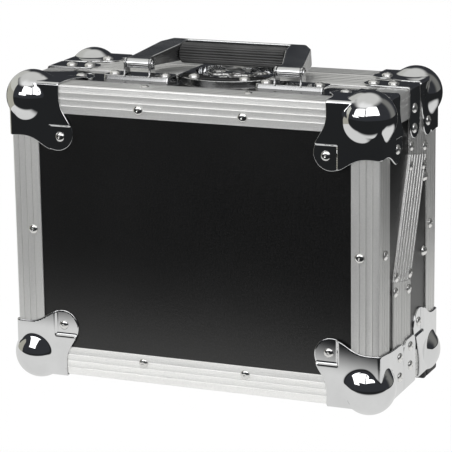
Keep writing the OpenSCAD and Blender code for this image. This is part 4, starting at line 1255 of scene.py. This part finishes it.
# ------------------------------------------------------------------ stage, light, camera
def stage_floor():
    me = bpy.data.meshes.new("floor")
    s = 6.0
    me.from_pydata([(-s, -s, 0), (s, -s, 0), (s, s, 0), (-s, s, 0)], [], [(0, 1, 2, 3)])
    ob = bpy.data.objects.new("floor", me)
    scene.collection.objects.link(ob)
    m = bpy.data.materials.new("stage_floor")
    m.use_nodes = True
    t = m.node_tree
    b = t.nodes["Principled BSDF"]
    b.inputs["Base Color"].default_value = (0.86, 0.86, 0.86, 1)
    b.inputs["Roughness"].default_value = 0.9
    b.inputs["Specular IOR Level"].default_value = 0.0
    out = t.nodes["Material Output"]
    # what the metal sees: a white table top that ends a short way in front of the case, dark beyond it
    geo = t.nodes.new("ShaderNodeNewGeometry")
    sep = t.nodes.new("ShaderNodeSeparateXYZ")
    t.links.new(geo.outputs["Position"], sep.inputs[0])

    def edge(axis, lo, hi):
        n = t.nodes.new("ShaderNodeMapRange")
        n.interpolation_type = "SMOOTHSTEP"
        n.inputs["From Min"].default_value = lo
        n.inputs["From Max"].default_value = hi
        t.links.new(sep.outputs[axis], n.inputs["Value"])
        return n.outputs["Result"]

    def mul(a, c):
        n = t.nodes.new("ShaderNodeMath")
        n.operation = "MULTIPLY"
        t.links.new(a, n.inputs[0])
        t.links.new(c, n.inputs[1])
        return n.outputs[0]
    skew = t.nodes.new("ShaderNodeMath")
    skew.operation = "MULTIPLY_ADD"
    skew.inputs[1].default_value = -0.35
    bend = t.nodes.new("ShaderNodeMath")
    bend.operation = "MAXIMUM"
    bend.inputs[1].default_value = -0.04
    t.links.new(sep.outputs["X"], bend.inputs[0])
    t.links.new(bend.outputs[0], skew.inputs[0])
    t.links.new(sep.outputs["Y"], skew.inputs[2])
    front = t.nodes.new("ShaderNodeMapRange")
    front.interpolation_type = "SMOOTHSTEP"
    front.inputs["From Min"].default_value = -0.35
    front.inputs["From Max"].default_value = -0.25
    t.links.new(skew.outputs[0], front.inputs["Value"])
    mask = mul(mul(front.outputs["Result"], edge("Y", 0.75, 0.42)), mul(edge("X", -1.2, -0.9), edge("X", 0.95, 0.65)))
    dark = t.nodes.new("ShaderNodeEmission")
    dark.inputs["Color"].default_value = (0.9, 0.95, 1.0, 1)
    dark.inputs["Strength"].default_value = 0.021
    pale = t.nodes.new("ShaderNodeEmission")
    pale.inputs["Color"].default_value = (1.0, 1.0, 0.985, 1)
    pale.inputs["Strength"].default_value = 0.76
    mix1 = t.nodes.new("ShaderNodeMixShader")
    t.links.new(mask, mix1.inputs[0])
    t.links.new(dark.outputs[0], mix1.inputs[1])
    t.links.new(pale.outputs[0], mix1.inputs[2])
    lp = t.nodes.new("ShaderNodeLightPath")
    mix2 = t.nodes.new("ShaderNodeMixShader")
    t.links.new(lp.outputs["Is Glossy Ray"], mix2.inputs[0])
    t.links.new(b.outputs[0], mix2.inputs[1])
    t.links.new(mix1.outputs[0], mix2.inputs[2])
    # the floor seen by the camera: pale, with the contact shadow kept
    lift = t.nodes.new("ShaderNodeEmission")
    lift.inputs["Color"].default_value = (1, 1, 1, 1)
    lift.inputs["Strength"].default_value = 0.74
    add = t.nodes.new("ShaderNodeAddShader")
    t.links.new(b.outputs[0], add.inputs[0])
    t.links.new(lift.outputs[0], add.inputs[1])
    # the floor is as white as the backdrop, and clear enough that a lid that swings below it stays in sight
    clear = t.nodes.new("ShaderNodeBsdfTransparent")
    mix4 = t.nodes.new("ShaderNodeMixShader")
    mix4.inputs[0].default_value = 0.995
    t.links.new(add.outputs[0], mix4.inputs[1])
    t.links.new(clear.outputs[0], mix4.inputs[2])
    mix3 = t.nodes.new("ShaderNodeMixShader")
    t.links.new(lp.outputs["Is Camera Ray"], mix3.inputs[0])
    t.links.new(mix2.outputs[0], mix3.inputs[1])
    t.links.new(mix4.outputs[0], mix3.inputs[2])
    t.links.new(mix3.outputs[0], out.inputs["Surface"])
    me.materials.append(m)


stage_floor()


def world():
    w = bpy.data.worlds.new("studio")
    scene.world = w
    w.use_nodes = True
    t = w.node_tree
    t.nodes.clear()
    out = t.nodes.new("ShaderNodeOutputWorld")
    lp = t.nodes.new("ShaderNodeLightPath")
    co = t.nodes.new("ShaderNodeTexCoord")
    sep = t.nodes.new("ShaderNodeSeparateXYZ")
    t.links.new(co.outputs["Generated"], sep.inputs[0])

    def put(n, k, v):
        if isinstance(v, bpy.types.NodeSocket):
            t.links.new(v, n.inputs[k])
        else:
            n.inputs[k].default_value = v

    def op(kind, a, b=0.0):
        n = t.nodes.new("ShaderNodeMath")
        n.operation = kind
        put(n, 0, a)
        put(n, 1, b)
        return n.outputs[0]

    def step(v, lo, hi):
        n = t.nodes.new("ShaderNodeMapRange")
        n.interpolation_type = "SMOOTHSTEP"
        put(n, "Value", v)
        put(n, "From Min", lo)
        put(n, "From Max", hi)
        return n.outputs["Result"]

    def band(v, a, b, soft):
        return op("MULTIPLY", step(v, a - soft, a + soft), step(v, b + soft, b - soft))

    def layer(under, colour, mask):
        n = t.nodes.new("ShaderNodeMix")
        n.data_type = "RGBA"
        t.links.new(mask, n.inputs["Factor"])
        for k, v in ((6, under), (7, colour)):
            if isinstance(v, tuple):
                n.inputs[k].default_value = (v[0], v[1], v[2], 1)
            else:
                t.links.new(v, n.inputs[k])
        return n.outputs[2]

    # directions in degrees: az from the front (-Y) towards +X, el above the horizon
    az = op("MULTIPLY", op("ARCTAN2", sep.outputs["X"], op("MULTIPLY", sep.outputs["Y"], -1.0)), 57.2958)
    el = op("MULTIPLY", op("ARCSINE", sep.outputs["Z"]), 57.2958)
    rad = op("MULTIPLY", az, 0.0174533)
    sn = op("SINE", rad)
    edge = op("ADD", op("ADD", op("MULTIPLY", op("COSINE", rad), 2.5), op("MULTIPLY", sn, 8.0)), op("ADD", op("MULTIPLY", op("MULTIPLY", sn, sn), 2.5), 47.5))
    over = op("SUBTRACT", el, edge)
    col = layer((0.019, 0.020, 0.022), (0.036, 0.038, 0.043), band(el, -12.0, 60.0, 8.0))
    col = layer(col, (0.20, 0.20, 0.19), op("MULTIPLY", band(az, 118.0, 152.0, 10.0), band(el, -22.0, 60.0, 8.0)))
    col = layer(col, (0.56, 0.56, 0.53), op("MULTIPLY", band(az, -146.0, -108.0, 5.0), band(el, -30.0, 60.0, 5.0)))
    col = layer(col, (0.66, 0.66, 0.64), step(over, -7.0, 12.0))
    glow = op("MULTIPLY", band(az, -58.0, 42.0, 22.0), op("MULTIPLY", step(over, -6.0, 6.0), step(el, 80.0, 58.0)))
    col = layer(col, (0.95, 0.95, 0.94), glow)
    gl = t.nodes.new("ShaderNodeBackground")
    t.links.new(col, gl.inputs["Color"])
    gl.inputs["Strength"].default_value = 1.0
    df = t.nodes.new("ShaderNodeBackground")
    df.inputs["Color"].default_value = (1, 1, 1, 1)
    df.inputs["Strength"].default_value = 0.43
    cam = t.nodes.new("ShaderNodeBackground")
    cam.inputs["Color"].default_value = (1, 1, 1, 1)
    cam.inputs["Strength"].default_value = 1.0
    m1 = t.nodes.new("ShaderNodeMixShader")
    t.links.new(lp.outputs["Is Glossy Ray"], m1.inputs[0])
    t.links.new(df.outputs[0], m1.inputs[1])
    t.links.new(gl.outputs[0], m1.inputs[2])
    m2 = t.nodes.new("ShaderNodeMixShader")
    t.links.new(lp.outputs["Is Camera Ray"], m2.inputs[0])
    t.links.new(m1.outputs[0], m2.inputs[1])
    t.links.new(cam.outputs[0], m2.inputs[2])
    t.links.new(m2.outputs[0], out.inputs["Surface"])


world()


def window(name, a, b, za, zb, strength, colour=(1, 1, 1)):
    """A bright diffuser panel that only reflections see: from a to b in plan, with its low and high edge at each end."""
    glow(name, [(a[0], a[1], za[0]), (b[0], b[1], zb[0]), (b[0], b[1], zb[1]), (a[0], a[1], za[1])], strength, colour)


def glow(name, corners, strength, colour=(1, 1, 1)):
    me = bpy.data.meshes.new(name)
    me.from_pydata(corners, [], [(0, 1, 2, 3)])
    ob = bpy.data.objects.new(name, me)
    scene.collection.objects.link(ob)
    m = bpy.data.materials.new(name)
    m.use_nodes = True
    t = m.node_tree
    t.nodes.clear()
    em = t.nodes.new("ShaderNodeEmission")
    em.inputs["Color"].default_value = (colour[0], colour[1], colour[2], 1)
    em.inputs["Strength"].default_value = strength
    out = t.nodes.new("ShaderNodeOutputMaterial")
    t.links.new(em.outputs[0], out.inputs["Surface"])
    me.materials.append(m)
    ob.visible_camera = ob.visible_diffuse = ob.visible_transmission = ob.visible_shadow = ob.visible_volume_scatter = False


window("diffuser_left", (-0.409, -0.579), (0.150, -0.88), (0.451, 0.868), (0.52, 1.10), 2.2)
glow("diffuser_sill", [(-0.493, -0.488, 0.47), (-0.22, -0.594, 0.47), (-0.255, -1.09, 0.47), (-0.80, -0.882, 0.47)], 2.2)
window("side_screen", (-0.75, 0.305), (-0.75, -0.31), (0.0, 0.44), (0.0, 0.44), 1.0, (0.43, 0.42, 0.36))
window("side_screen_top", (-0.75, 0.305), (-0.75, -0.31), (0.44, 0.79), (0.44, 0.79), 1.0, (0.60, 0.60, 0.55))
window("diffuser_right", (0.222, -0.885), (0.904, -0.438), (0.54, 1.28), (0.55, 1.34), 2.2)

# camera solved from the photograph's corners
CAM = Vector((0.9043, -2.1389, 0.7373))
yaw, pitch, roll = -0.400, 0.243, -0.014
fwd = Vector((math.sin(yaw) * math.cos(pitch), math.cos(yaw) * math.cos(pitch), -math.sin(pitch)))
rgt = Vector((math.cos(yaw), -math.sin(yaw), 0))
up = rgt.cross(fwd)
r2 = math.cos(roll) * rgt + math.sin(roll) * up
u2 = -math.sin(roll) * rgt + math.cos(roll) * up
cam = bpy.data.cameras.new("camera")
cam.sensor_width = 36
cam.lens = 2293.96 / 452 * 36
cam.clip_start, cam.clip_end = 0.05, 60
co = bpy.data.objects.new("camera", cam)
scene.collection.objects.link(co)
co.matrix_world = Matrix(((r2.x, u2.x, -fwd.x, CAM.x), (r2.y, u2.y, -fwd.y, CAM.y), (r2.z, u2.z, -fwd.z, CAM.z), (0, 0, 0, 1)))
scene.camera = co


def softbox(name, az, el, dist, sx, sy, power, color=(1, 1, 1)):
    """A rectangular softbox that faces the case. az from the front (-Y) towards +X, el above the horizon, degrees."""
    li = bpy.data.lights.new(name, "AREA")
    li.shape = "RECTANGLE"
    li.size, li.size_y = sx, sy
    li.energy = power
    li.color = color
    ob = bpy.data.objects.new(name, li)
    scene.collection.objects.link(ob)
    a, e = math.radians(az), math.radians(el)
    d = Vector((math.sin(a) * math.cos(e), -math.cos(a) * math.cos(e), math.sin(e)))
    ob.location = Vector((0, 0, 0.2)) + d * dist
    ob.rotation_mode = "QUATERNION"
    ob.rotation_quaternion = (-d).to_track_quat("-Z", "Y")
    ob.visible_glossy = False
    return ob


softbox("front_left", -22, 22, 2.6, 1.7, 1.25, 36)
softbox("front_right", 34, 24, 2.6, 1.5, 1.25, 24)

scene.view_settings.view_transform = "Standard"
scene.view_settings.look = "None"
